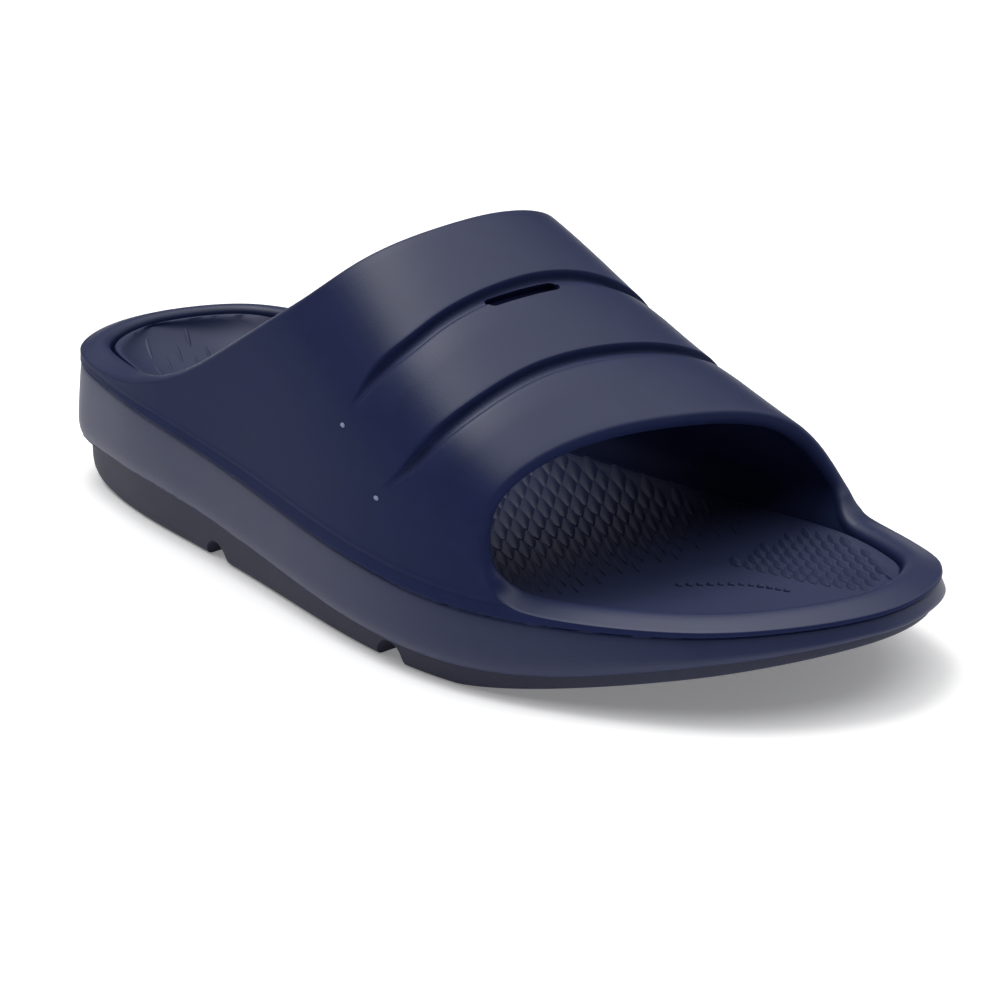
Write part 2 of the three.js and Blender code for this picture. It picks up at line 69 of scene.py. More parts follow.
# Sections from the heel tip to the toe tip, as in the part's source. Each joins a point of the
# lateral side to one of the medial side: at = share of the length, out = share of the local width,
# ball = how far the width has passed from the heel's to the ball's, crown = share of the instep
# height, wall and shoulder = how upright the arch starts and how square it turns on each side.
SECTION_COLUMNS = (
    "lateral_at", "lateral_out", "medial_at", "medial_out", "ball",
    "crown", "lateral_wall", "lateral_shoulder", "medial_wall", "medial_shoulder",
)
SECTION_ROWS = (
    (0.000, 0.000, 0.000, 0.000, 0, 1.19, 1.1, 0.85, 1.10, 0.75),
    (0.031, 0.300, 0.031, 0.344, 0, 1.19, 1.1, 0.85, 1.10, 0.75),
    (0.093, 0.416, 0.093, 0.490, 0, 1.19, 1.1, 0.85, 1.10, 0.75),
    (0.179, 0.491, 0.183, 0.509, 0, 1.19, 1.1, 0.85, 1.10, 0.75),
    (0.283, 0.545, 0.290, 0.473, 0, 1.17, 1.1, 0.85, 1.10, 0.75),
    (0.393, 0.506, 0.407, 0.377, 0.5, 1.14, 1.1, 0.85, 1.10, 0.75),
    (0.503, 0.485, 0.524, 0.364, 1, 1.052, 1.1, 0.85, 1.10, 0.75),
    (0.610, 0.520, 0.638, 0.432, 1, 0.87, 1.1, 0.95, 1.00, 0.60),
    (0.710, 0.509, 0.745, 0.477, 1, 0.69, 1.1, 1.10, 1.00, 0.48),
    (0.800, 0.438, 0.838, 0.483, 1, 0.535, 1.1, 1.10, 1.00, 0.60),
    (0.883, 0.329, 0.914, 0.428, 1, 0.455, 1.1, 1.00, 1.00, 0.75),
    (0.952, 0.183, 0.970, 0.322, 1, 0.415, 1.1, 0.90, 1.10, 0.75),
    (1.000, -0.076, 1.000, 0.076, 1, 0.415, 1.1, 0.90, 1.10, 0.75),
)
LAST_SECTION = len(SECTION_ROWS) - 1

# Side profile at every tenth of the length, as in the part's source: heel = how much of the step
# from ball to heel stack is left, toe = share of the toe spring, stack and lift = the outsole's
# upper edge in shares of heel stack and toe spring, dish = depth of the footbed.
PROFILE_COLUMNS = ("heel", "toe", "stack", "lift", "dish")
PROFILE_ROWS = (
    (1.02, 0, 0.33, 0, 0.6),
    (0.95, 0, 0.375, 0, 1),
    (0.85, 0, 0.388, 0, 0.95),
    (0.69, 0, 0.355, 0, 0.75),
    (0.50, 0, 0.30, 0, 0.5),
    (0.31, 0, 0.24, 0, 0.35),
    (0.15, 0, 0.195, 0, 0.3),
    (0.02, 0, 0.18, 0, 0.3),
    (0.00, 0, 0.18, 0.12, 0.25),
    (0.00, 0.045, 0.18, 0.45, 0.1),
    (0.00, 0.18, 0.20, 0.75, 0),
)

# Free edges of the upper, as in the part's source: section = place along the section table, over =
# share of the way over the arch from the lateral joint line to the medial one.
EDGE_COLUMNS = ("section", "over")
REAR_EDGE_ROWS = (
    (0, 0.007), (1.4, 0.007), (2.6, 0.010), (3.6, 0.028), (4.5, 0.069), (5.4, 0.137),
    (6.03, 0.24), (6.3, 0.40), (6.3, 0.55), (6.14, 0.70), (5.73, 0.818),
    (5.0, 0.900), (4.2, 0.951), (3.3, 0.980), (2.4, 0.991), (1.2, 0.993), (0, 0.993),
)
REAR_TURN = (6, 10)
FRONT_EDGE_ROWS = (
    (12, 0.014), (10.9, 0.014), (9.8, 0.012), (8.95, 0.012), (8.5, 0.022), (8.31, 0.06),
    (8.28, 0.13), (8.36, 0.24), (8.39, 0.36), (8.40, 0.48), (8.42, 0.60), (8.40, 0.72),
    (8.39, 0.82), (8.49, 0.905),
    (8.66, 0.955), (9.0, 0.984), (9.9, 0.987), (11.0, 0.986), (12, 0.986),
)
FRONT_TURN = (5, 13)

# Lines of the two grooves right over the strap. The grooves themselves are shorter: they fade out
# between the places that GROOVE_FADES gives.
REAR_GROOVE_ROWS = (
    (6.14, 0.0), (6.50, 0.095), (6.73, 0.155), (6.94, 0.255), (7.00, 0.340), (6.97, 0.460),
    (6.92, 0.570), (6.90, 0.690), (6.88, 0.790), (6.80, 0.870), (6.70, 1.0),
)
FRONT_GROOVE_ROWS = (
    (6.63, 0.0), (7.00, 0.060), (7.40, 0.125), (7.68, 0.230), (7.76, 0.340), (7.72, 0.450),
    (7.69, 0.570), (7.65, 0.690), (7.56, 0.790), (7.44, 0.885), (7.30, 1.0),
)


def smooth(value: Array | float) -> Array:
    """Returns a smooth step from 0 to 1 for values from 0 to 1, and flat beyond them."""
    t = np.clip(value, 0.0, 1.0)
    return t * t * (3.0 - 2.0 * t)


def lerp(start: Array | float, end: Array | float, share: Array | float) -> Array:
    """Returns the value at a share of the way from start to end."""
    return start + (end - start) * share


def unit(vectors: Array) -> Array:
    """Returns the vectors of the last axis at length 1."""
    return vectors / np.maximum(np.linalg.norm(vectors, axis=-1, keepdims=True), 1e-9)


class Curve:
    """A cubic B-spline through values at 0, 1, 2 and so on, the same rule as in the part's source."""

    PASSES = 50

    def __init__(self, values: list[float], closed: bool = False) -> None:
        """Finds the control values by averaging passes.

        Args:
            values: What the curve passes through.
            closed: True if it runs on from its last value to its first.
        """
        self.closed = closed
        self.count = len(values)
        target = np.asarray(values, float)
        control = target.copy()
        for _ in range(self.PASSES):
            padded = self._padded(control)
            control = (6 * target - padded[: self.count] - padded[2 : self.count + 2]) / 4
        self.control = self._padded(control)

    def _padded(self, control: Array) -> Array:
        """Returns the control values with their neighbours past both ends."""
        if self.closed:
            return np.concatenate([control[-1:], control, control[:2]])
        before = 2 * control[0] - control[1]
        after = 2 * control[-1] - control[-2]
        return np.concatenate([[before], control, [after]])

    def __call__(self, at: Array | float) -> Array:
        """Returns the curve's value at each place in at."""
        place = np.mod(at, self.count) if self.closed else np.clip(at, 0, self.count - 1)
        top = self.count - 1 if self.closed else self.count - 2
        i = np.minimum(np.floor(place), top).astype(int)
        t = place - i
        weights = ((1 - t) ** 3, 3 * t**3 - 6 * t**2 + 4, -3 * t**3 + 3 * t**2 + 3 * t + 1, t**3)
        return sum(weight * self.control[i + k] for k, weight in enumerate(weights)) / 6


def table_curves(columns: tuple[str, ...], rows: tuple[tuple[float, ...], ...]) -> dict[str, Curve]:
    """Returns one curve for each named column of a table."""
    return {name: Curve([row[k] for row in rows]) for k, name in enumerate(columns)}


SECTION = table_curves(SECTION_COLUMNS, SECTION_ROWS)
PROFILE = table_curves(PROFILE_COLUMNS, PROFILE_ROWS)
REAR_EDGE = table_curves(EDGE_COLUMNS, REAR_EDGE_ROWS)
FRONT_EDGE = table_curves(EDGE_COLUMNS, FRONT_EDGE_ROWS)


@dataclass(frozen=True)
class Last:
    """The sandal's outer form: outline, side profile and the arch of its upper."""

    length: float = 290.0
    heel_width: float = 80.0
    ball_width: float = 112.0
    instep_height: float = 101.0
    heel_stack: float = 35.0
    ball_stack: float = 22.0
    toe_spring: float = 18.0
    toe_spring_length: float = 87.0
    heel_bevel: float = 9.0
    heel_bevel_length: float = 40.0
    footbed_edge: float = 1.5
    heel_cup: float = 7.0
    toe_cup: float = 1.6
    rim: float = 9.5
    cup_run: float = 34.0  # how far the heel end of the cup takes to reach its floor
    cup_flow: float = 2.3  # how far the footbed's edge runs up the rim round the heel
    shift: float = 0.0  # sideways move that centres the plan as in the frame
    curves: dict[str, Curve] = field(default_factory=dict, repr=False)

    def __post_init__(self) -> None:
        """Makes the closed outline: the lateral points and then the medial ones."""
        width = lambda row: lerp(self.heel_width, self.ball_width, row[4])
        lateral = [(row[0] * self.length, row[1] * width(row)) for row in SECTION_ROWS]
        medial = [(row[2] * self.length, -row[3] * width(row)) for row in SECTION_ROWS[-2:0:-1]]
        points = lateral + medial
        self.curves["along"] = Curve([point[0] for point in points], closed=True)
        self.curves["out"] = Curve([point[1] for point in points], closed=True)

    def tenth(self, along: Array) -> Array:
        """Returns the place in the profile table for a distance from the heel end."""
        return np.clip(10 * along / self.length, 0, 10)

    def joint(self, along: Array) -> Array:
        """Returns the height of the line between midsole and upper."""
        at = self.tenth(along)
        step = (self.heel_stack - self.ball_stack) * PROFILE["heel"](at)
        return self.ball_stack + step + self.toe_spring * PROFILE["toe"](at)

    def step(self, along: Array) -> Array:
        """Returns the height of the line between outsole and midsole."""
        at = self.tenth(along)
        return self.heel_stack * PROFILE["stack"](at) + self.toe_spring * PROFILE["lift"](at)

    def floor(self, along: Array) -> Array:
        """Returns the height of the sole's underside."""
        heel = np.clip(1 - along / self.heel_bevel_length, 0, 1)
        toe = np.clip((along - self.length + self.toe_spring_length) / self.toe_spring_length, 0, 1)
        return self.heel_bevel * heel**2.4 + self.toe_spring * toe**1.25

    def footbed(self, along: Array, edge: Array) -> Array:
        """Returns the height of the footbed, which dips between its edges.

        Args:
            along: Distance from the heel end.
            edge: Share of the way from the footbed's middle to its edge.

        Returns:
            Height over the floor.
        """
        heel = np.clip(1 - (along - self.rim) / self.cup_run, 0, 1)
        edge = np.minimum((edge**4 + heel**4) ** 0.25, 1)
        depth = self.toe_cup + (self.heel_cup - self.toe_cup) * PROFILE["dish"](self.tenth(along))
        return self.joint(along) + self.footbed_edge - depth * (1 - edge**2.6)

    def bed(self, along: Array, edge: Array) -> Array:
        """Returns the height of the footbed's top, whose edge runs up the rim round the heel."""
        heel = np.clip(1 - (along - self.rim) / self.cup_run, 0, 1)
        flow = self.cup_flow * np.minimum(edge**4 + heel**4, 1) ** 1.5
        return self.footbed(along, edge) + flow * (1 - smooth((along - 40) / 50))

    def outline(self, turn: Array, inset: Array | float = 0.0) -> tuple[Array, Array]:
        """Returns distance along and out for places round the sole's outline.

        Args:
            turn: Place round the outline: the section on the lateral side, and past the toe on the
                medial side twice the last section less the section.
            inset: How far the point is moved inwards.

        Returns:
            Distances from the heel end and out from the middle line.
        """
        small = 0.001
        along, out = self.curves["along"], self.curves["out"]
        run = along(turn + small) - along(turn - small)
        side = out(turn + small) - out(turn - small)
        length = np.hypot(run, side)
        return along(turn) + inset * side / length, out(turn) - inset * run / length

    def turn(self, side: Side, at: Array) -> Array:
        """Returns the place round the outline of a section's end on one side."""
        return np.asarray(at, float) if side is Side.LATERAL else 2 * LAST_SECTION - np.asarray(at)

    def place(self, along: Array, out: Array, height: Array) -> Array:
        """Returns points in the row's frame, in millimetres."""
        along, out, height = np.broadcast_arrays(along, out, height)
        return np.stack([self.shift - out, self.length / 2 - along, height], axis=-1)

    def along_of(self, points: Array) -> Array:
        """Returns the distance from the heel end of points in the row's frame."""
        return self.length / 2 - points[..., 1]

    def arch(self, at: Array, over: Array) -> Array:
        """Returns points of the upper's outer face, without its bead and grooves.

        Args:
            at: Places along the section table.
            over: Shares of the way from the lateral joint line to the medial one.

        Returns:
            Points in millimetres.
        """
        at, over = np.broadcast_arrays(np.asarray(at, float), np.asarray(over, float))
        near_along, near_out = self.outline(self.turn(Side.LATERAL, at))
        far_along, far_out = self.outline(self.turn(Side.MEDIAL, at))
        wall, far_wall = SECTION["lateral_wall"](at), SECTION["medial_wall"](at)
        top = (32 - 5 * (wall + far_wall)) / 20
        one, nothing = np.ones_like(at), np.zeros_like(at)
        shoulders = SECTION["lateral_shoulder"](at), -SECTION["medial_shoulder"](at)
        sideways = (one, one, *shoulders, -one, -one)
        upwards = (nothing, wall, top, top, far_wall, nothing)
        weights = [math.comb(5, k) * over**k * (1 - over) ** (5 - k) for k in range(6)]
        across = sum(weight * value for weight, value in zip(weights, sideways))
        up = sum(weight * value for weight, value in zip(weights, upwards))
        along = lerp(far_along, near_along, (1 + across) / 2)
        out = lerp(far_out, near_out, (1 + across) / 2)
        base = self.joint(along)
        height = base + (SECTION["crown"](at) * self.instep_height - base) * up
        return self.place(along, out, height)

    def arch_normal(self, at: Array, over: Array) -> Array:
        """Returns outward unit normals of the arch."""
        small = 0.002
        at, over = np.broadcast_arrays(np.asarray(at, float), np.asarray(over, float))
        low = np.where(over < 0.5, over, over - small)
        ahead = self.arch(np.minimum(at + small, LAST_SECTION), over)
        forward = ahead - self.arch(np.maximum(at - small, 0), over)
        across = self.arch(at, low + small) - self.arch(at, low)
        return -unit(np.cross(across, forward))


class Shell:
    """Collects grids of points for one closed piece; grids that share an edge are welded."""

    WELD = 0.001

    def __init__(self) -> None:
        """Starts with no points and no faces."""
        self.points: list[Array] = []
        self.faces: list[tuple[int, ...]] = []
        self.count = 0

    def grid(self, points: Array, closed: bool = False) -> None:
        """Adds a grid of quads.

        Args:
            points: Points in millimetres, rows by columns by 3.
            closed: True if the last column joins the first.
        """
        rows, columns = points.shape[:2]
        index = np.arange(rows * columns).reshape(rows, columns) + self.count
        if closed:
            index = np.concatenate([index, index[:, :1]], axis=1)
        corners = (index[:-1, :-1], index[:-1, 1:], index[1:, 1:], index[1:, :-1])
        self.faces += [tuple(face) for face in np.stack(corners, axis=-1).reshape(-1, 4).tolist()]
        self.points.append(points.reshape(-1, 3))
        self.count += rows * columns

    def build(self, name: str) -> bpy.types.Object:
        """Makes the piece, with its doubles merged and its faces pointing out.

        Args:
            name: The piece's name.

        Returns:
            A mesh object at the origin, with its place in its mesh.
        """
        mesh = bpy.data.meshes.new(name)
        mesh.from_pydata((np.concatenate(self.points) * MM).tolist(), [], self.faces)
        work = bmesh.new()
        work.from_mesh(mesh)
        bmesh.ops.remove_doubles(work, verts=work.verts, dist=self.WELD * MM)
        bmesh.ops.dissolve_degenerate(work, edges=work.edges, dist=self.WELD * MM)
        bmesh.ops.recalc_face_normals(work, faces=work.faces)
        if work.calc_volume(signed=True) < 0:
            bmesh.ops.reverse_faces(work, faces=work.faces)
        open_edges = sum(1 for edge in work.edges if len(edge.link_faces) != 2)
        if open_edges:
            log.warning("%s has %d open edges", name, open_edges)
        work.to_mesh(mesh)
        work.free()
        piece = bpy.data.objects.new(name, mesh)
        bpy.context.scene.collection.objects.link(piece)
        return piece


def bake(piece: bpy.types.Object) -> None:
    """Turns a piece's modifiers into plain mesh."""
    graph = bpy.context.evaluated_depsgraph_get()
    mesh = bpy.data.meshes.new_from_object(piece.evaluated_get(graph))
    old = piece.data
    mesh.name = piece.name
    piece.modifiers.clear()
    piece.data = mesh
    bpy.data.meshes.remove(old)


def cut(piece: bpy.types.Object, cutter: bpy.types.Object) -> None:
    """Cuts the cutter out of a piece and removes the cutter."""
    modifier = piece.modifiers.new("cut", "BOOLEAN")
    modifier.operation = "DIFFERENCE"
    modifier.solver = "EXACT"
    modifier.object = cutter
    bake(piece)
    mesh = cutter.data
    bpy.data.objects.remove(cutter)
    bpy.data.meshes.remove(mesh)


def shade(piece: bpy.types.Object, sharp: float = 40.0) -> None:
    """Shades a piece smooth, with edges sharper than an angle in degrees left crisp."""
    piece.data.shade_smooth()
    piece.data.set_sharp_from_angle(angle=math.radians(sharp))


def linear(colour: str) -> tuple[float, float, float, float]:
    """Returns the linear colour of an sRGB hex value such as "2b3150"."""
    parts = [int(colour[i : i + 2], 16) / 255 for i in (0, 2, 4)]
    return (*[c / 12.92 if c <= 0.04045 else ((c + 0.055) / 1.055) ** 2.4 for c in parts], 1.0)


Tree = bpy.types.NodeTree
Link = bpy.types.NodeSocket | float | tuple | str


def add_node(tree: Tree, kind: str, inputs: dict | None = None, **settings: object) -> bpy.types.Node:
    """Adds a node, with its settings and its inputs set or linked.

    Args:
        tree: The node tree.
        kind: The node's type name.
        inputs: Values or other nodes' output sockets, by the input's name or number.
        settings: The node's own properties.

    Returns:
        The new node.
    """
    node = tree.nodes.new(kind)
    for name, value in settings.items():
        setattr(node, name, value)
    for name, value in (inputs or {}).items():
        socket = node.inputs[name]
        if isinstance(value, bpy.types.NodeSocket):
            tree.links.new(value, socket)
        else:
            socket.default_value = value
    return node


@dataclass(frozen=True)
class FoamFinish:
    """A moulded foam's finish: closed-cell EVA pressed in a blasted mould, matt with a soft gloss; a
    coat paints a highlight on faces that look up.
    """

    name: str
    base: str = "20284b"  # body colour
    deep: str = "1c2342"  # where the pigment lies thicker
    roughness: float = 0.48
    gloss: float = 0.03  # specular level of the bare foam
    painted_top_sheen: float = 0.72  # painted highlight: coat weight where faces look up
    mottle: float = 9.0  # width of the faint patches in the skin
    grain: float = 0.7  # width of the mould's blasted grain, drawn coarse enough to show
    grain_depth: float = 0.035

    def material(self) -> bpy.types.Material:
        """Returns the material, with its patterns on object coordinates."""
        material = bpy.data.materials.new(self.name)
        material.use_nodes = True
        tree = material.node_tree
        tree.nodes.clear()
        where = add_node(tree, "ShaderNodeTexCoord").outputs["Object"]
        mottle = add_node(tree, "ShaderNodeTexNoise", {
            "Vector": where, "Scale": 1 / (self.mottle * MM), "Detail": 3.0, "Roughness": 0.5,
        })
        colour = add_node(tree, "ShaderNodeMix", {
            "Factor": mottle.outputs["Fac"], "A": linear(self.deep), "B": linear(self.base),
        }, data_type="RGBA")
        gloss = add_node(tree, "ShaderNodeMapRange", {
            "Value": mottle.outputs["Fac"],
            "To Min": self.roughness - 0.04, "To Max": self.roughness + 0.05,
        })
        grain = add_node(tree, "ShaderNodeTexNoise", {
            "Vector": where, "Scale": 1 / (self.grain * MM), "Detail": 2.0, "Roughness": 0.6,
        })
        bump = add_node(tree, "ShaderNodeBump", {
            "Height": grain.outputs["Fac"], "Distance": self.grain_depth * MM, "Strength": 1.0,
        })
        # Painted highlight: faces that look up get more coat and so shine more than the upright ones,
        # standing in for where the top lights fall
        facing = add_node(tree, "ShaderNodeSeparateXYZ", {
            "Vector": add_node(tree, "ShaderNodeNewGeometry").outputs["Normal"],
        })
        painted_top_sheen = add_node(tree, "ShaderNodeMapRange", {
            "Value": facing.outputs["Z"], "From Min": 0.22, "From Max": 0.78,
            "To Min": 0.0, "To Max": self.painted_top_sheen,
        }, interpolation_type="SMOOTHSTEP")
        # Foam skin: IOR of EVA about 1.49, no metal; its micro-cells weaken the mirror part, so the
        # coat's painted highlight gives most of the shine
        shader = add_node(tree, "ShaderNodeBsdfPrincipled", {
            "Base Color": colour.outputs["Result"], "Roughness": gloss.outputs["Result"],
            "Normal": bump.outputs["Normal"], "IOR": 1.49, "Specular IOR Level": self.gloss,
            "Metallic": 0.0, "Coat Weight": painted_top_sheen.outputs["Result"],
            "Coat Roughness": self.roughness, "Coat IOR": 1.49,
            "Coat Normal": bump.outputs["Normal"],
        })
        add_node(tree, "ShaderNodeOutputMaterial", {"Surface": shader.outputs["BSDF"]})
        return material


@dataclass(frozen=True)
class Finishes:
    """The sandal's finishes, one for each moulded piece."""

    # Smooth moulded EVA: broad soft highlights on navy, painted onto faces that look up by the coat
    upper: FoamFinish = FoamFinish("Moulded EVA foam, smooth skin")
    # The same foam, painted a touch paler than the upper to stand in for the light the side wall
    # catches
    side: FoamFinish = FoamFinish("Moulded EVA foam, side wall", base="252c4e", deep="202747",
                                  roughness=0.46, gloss=0.32, painted_top_sheen=0.03)
    # Footbed: matt, textured by the mould
    bed: FoamFinish = FoamFinish("Moulded EVA foam, footbed", roughness=0.6, base="20284a",
                                 deep="1b2241")
    # Thin skin that foam leaves in a mould's parting; its pale colour is a painted highlight of the
    # edges it runs along
    flash: FoamFinish = FoamFinish("Parting flash, rubbed foam", base="4a5274", deep="2c3458",
                                   mottle=5.0, roughness=0.45)
    # Gate marks where the foam was fed in: cut off, so pale and matt
    gate: FoamFinish = FoamFinish("Gate mark, cut foam", base="8d94b0", deep="7a819e",
                                  mottle=2.0, roughness=0.55)
    # Denser foam rubber of the tread, greyer and matt
    tread: FoamFinish = FoamFinish("Foam rubber, moulded tread", base="282b41", deep="22253a",
                                   roughness=0.62, gloss=0.32, painted_top_sheen=0.02)


def dress(piece: bpy.types.Object, finish: bpy.types.Material, slot: str, *nodes: str) -> None:
    """Gives a piece its material, hangs it under the body's empty and hides the CAD nodes that it
    replaces.

    Args:
        piece: The finished piece.
        finish: Its material.
        slot: Name of the record's material slot for the piece; not used.
        nodes: CAD nodes that it replaces.
    """
    piece.data.materials.clear()
    piece.data.materials.append(finish)
    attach(piece, BODY)
    if nodes:
        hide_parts(*nodes)
    log.info("%s: %d faces", piece.name, len(piece.data.polygons))


@dataclass(frozen=True)
class Groove:
    """A groove across the strap: a steep wall on its rear side and a floor that slopes up ahead."""

    rows: tuple[tuple[float, float], ...]
    start: float  # share over the arch where it begins on the lateral side
    end: float
    fade: float = 0.10  # share over the arch over which it fades at the start
    far_fade: float = 0.34  # the same at the end
    # Cross-section: distance ahead of the groove's line, and depth
    section: tuple[tuple[float, float], ...] = (
        (-3.2, 0.0), (-2.5, 0.0), (-2.2, 0.06), (-1.98, 0.28), (-1.85, 0.7), (-1.74, 1.25),
        (-1.62, 1.8), (-1.45, 2.2), (-1.15, 2.4), (-0.4, 2.2), (0.6, 1.75), (1.4, 1.45), (1.7, 1.4),
        (1.9, 1.2), (2.15, 0.85), (2.5, 0.65), (3.6, 0.45), (6.5, 0.22),
    )

    def section_at(self, over: Array) -> Array:
        """Returns the section table place of the groove's line at shares over the arch."""
        curves = table_curves(EDGE_COLUMNS, self.rows)
        rows = np.linspace(0, len(self.rows) - 1, 400)
        return np.interp(over, curves["over"](rows), curves["section"](rows))

    def strength(self, over: Array) -> Array:
        """Returns how much of the groove's depth there is at shares over the arch."""
        return smooth((over - self.start) / self.fade) * smooth((self.end - over) / self.far_fade)


@dataclass
class Upper:
    """The strap, its side walls and the rim, in one moulded piece."""

    last: Last
    wall: float = 4.5
    rim_width: float = 9.5
    rim_blend: float = 12.0
    rim_fall: float = 1.6
    lip_rise: float = 2.4
    lip_lean: float = 0.75  # how far the rounded edge's crest leans to its inner side on the rim
    bead_swell: float = 0.8
    heel_bead: float = 0.16  # the same at the heel end
    bead_height: float = 8.0  # height over the joint that the close rows of points reach
    crease: float = 0.17  # ridge along the top of the bead, over a hollow of the same depth
    seam: float = 0.2
    edge_round: float = 0.6  # rounding of the rim's lower edge, at the joint line
    slot_at: tuple[float, float] = (7.037, 6.992)
    slot_over: tuple[float, float] = (0.445, 0.573)
    slot_width: float = 3.8
    rear: Groove = Groove(REAR_GROOVE_ROWS, 0.125, 0.985)
    front: Groove = Groove(FRONT_GROOVE_ROWS, 0.075, 0.985)
    wall_rows: int = 16
    strap_rows: int = 60
    rear_columns: int = 72
    front_columns: int = 84
    spans: tuple[int, int, int] = (9, 7, 7)  # columns behind, between and ahead of the grooves
    lip_rows: int = 12
    leans: tuple[float, float] = (2.2, 0.6)  # how far columns lean along the foot as they rise

    def height(self, points: Array) -> Array:
        """Returns heights over the joint line."""
        return points[..., 2] - self.last.joint(self.last.along_of(points))

    def outer(self, at: Array, over: Array, sunk: Array | float = 0.0) -> Array:
        """Returns points of the outer face: the arch with its bead, less what is sunk into it."""
        points = self.last.arch(at, over)
        height = self.height(points)
        along = self.last.along_of(points)
        full = lerp(self.heel_bead, self.bead_swell, smooth((along - 15) / 60))
        top = lerp(2.8, 4.6, smooth((along - 50) / 90))
        swell = full * (1 - smooth(height / top))
        swell += self.crease * (full / self.bead_swell) * (
            np.exp(-(((height - top) / 0.55) ** 2)) - np.exp(-(((height - 0.72 * top) / 0.9) ** 2))
        )
        turn = np.clip(1 - height / self.edge_round, 0, 1)
        tuck = self.edge_round * (1 - np.sqrt(1 - turn**2))
        push = (swell - tuck - sunk)[..., None]
        points = points + self.last.arch_normal(at, over) * push
        points[..., 2] += 0.5 * self.seam * np.clip(1 - height / 1.5, 0, 1)
        return points

    def inner(self, at: Array, over: Array) -> Array:
        """Returns points of the inner face: a wall that widens into the rim."""
        points = self.last.arch(at, over)
        height = self.height(points)
        low = 1 - smooth(height / self.rim_blend)
        wall = lerp(self.wall, self.rim_width, low)[..., None]
        points = points - self.last.arch_normal(at, over) * wall
        points[..., 2] -= self.rim_fall * low * np.clip(height / self.lip_rise, 0, 1)
        return points

    def rises(self, side: Side, at: Array, top: Array) -> Array:
        """Returns how far over the arch each row of a side wall lies.

        Args:
            side: The side of the sandal.
            at: Each column's place along the section table.
            top: Each column's share over the arch at its free edge, counted from its own side.

        Returns:
            Rows by columns; close rows shape the bead and the rest are evenly spaced.
        """
        name = "lateral_wall" if side is Side.LATERAL else "medial_wall"
        crown = SECTION["crown"](at) * self.last.instep_height
        bead = self.bead_height / (5 * SECTION[name](at) * (crown - self.last.ball_stack))
        shares = (0, 0.03, 0.07, 0.11, 0.2, 0.3, 0.37, 0.42, 0.46, 0.5, 0.53, 0.56, 0.59,
                  0.62, 0.66, 0.71, 0.78, 0.88, 1.0)
        low = [np.minimum(bead * share, 0.5 * share * top) for share in shares]
        high = [lerp(low[-1], top, k / self.wall_rows) for k in range(1, self.wall_rows + 1)]
        return np.stack(low + high)

    def wall_grid(self, side: Side, at: Array, top: Array, lean: float) -> tuple[Array, Array]:
        """Returns places and shares for side wall columns that lean along the foot."""
        rises = self.rises(side, at, top)
        places = at - lean * (top - rises) * smooth(top / 0.1)
        return places, rises if side is Side.LATERAL else 1 - rises

    def rear_block(self) -> tuple[Array, Array]:
        """Returns the grid of the rear side walls, from the lateral shoulder round the heel."""
        return self.end_block(REAR_EDGE, REAR_TURN, len(REAR_EDGE_ROWS) - 1, self.rear_columns,
                              self.leans[0])

    def front_block(self) -> tuple[Array, Array]:
        """Returns the grid of the toe rim, from the lateral shoulder round the toe."""
        return self.end_block(FRONT_EDGE, FRONT_TURN, len(FRONT_EDGE_ROWS) - 1, self.front_columns,
                              self.leans[1])

    def end_block(self, edge: dict[str, Curve], turn: tuple[int, int], last_row: int,
                  columns: int, lean: float) -> tuple[Array, Array]:
        """Returns places and shares of the walls beyond the strap at one end of the sandal."""
        parts = []
        for side, first, final in ((Side.LATERAL, turn[0], 0), (Side.MEDIAL, last_row, turn[1])):
            rows = np.linspace(first, final, columns + 1)
            over = edge["over"](rows)
            top = over if side is Side.LATERAL else 1 - over
            parts.append(self.wall_grid(side, edge["section"](rows), top, lean))
        lateral, medial = parts
        places = np.concatenate([lateral[0], medial[0][:, 1:]], axis=1)
        return places, np.concatenate([lateral[1], medial[1][:, 1:]], axis=1)

    def strap_lines(self) -> list[tuple[Array, Array]]:
        """Returns places and shares of the strap's rear edge, two groove lines and front edge.

        Each runs over the whole arch: up the lateral wall, over the strap and down the medial wall.
        """
        across = np.linspace(0, 1, self.strap_rows + 1)
        edges = []
        for edge, turn in ((REAR_EDGE, REAR_TURN), (FRONT_EDGE, FRONT_TURN)):
            rows = lerp(turn[0], turn[1], across)
            edges.append((edge["section"](rows), edge["over"](rows)))
        (rear_at, rear_over), (front_at, front_over) = edges
        tops = [edges[0]]
        for groove, share in ((self.rear, 0.35), (self.front, 0.62)):
            for _ in range(20):
                over = lerp(rear_over, front_over, share)
                at = groove.section_at(over)
                share = (at - rear_at) / (front_at - rear_at)
            tops.append((at, over))
        tops.append(edges[1])
        leans = (self.leans[0], self.rear, self.front, self.leans[1])
        lines = []
        for (at, over), lean in zip(tops, leans):
            walls = {}
            for side, end in ((Side.LATERAL, 0), (Side.MEDIAL, -1)):
                top = over[end] if side is Side.LATERAL else 1 - over[end]
                rises = self.rises(side, at[end : end + 1] if end == 0 else at[-1:], np.array([top]))
                share = (rises if side is Side.LATERAL else 1 - rises)[:, 0]
                if isinstance(lean, Groove):
                    place = lean.section_at(share)
                else:
                    place = at[end] - lean * (top - rises[:, 0]) * smooth(top / 0.1)
                walls[side] = (place, share)
            lateral, medial = walls[Side.LATERAL], walls[Side.MEDIAL]
            lines.append((
                np.concatenate([lateral[0][:-1], at, medial[0][-2::-1]]),
                np.concatenate([lateral[1][:-1], over, medial[1][-2::-1]]),
            ))
        return lines

    def strap_block(self) -> tuple[Array, Array, Array]:
        """Returns places, shares and depths sunk for the strap with its walls down to the joint."""
        lines = self.strap_lines()
        small = 0.02
        places, shares, depths = [], [], []

        def column(at: Array, over: Array, sunk: Array) -> None:
            places.append(at)
            shares.append(over)
            depths.append(sunk)

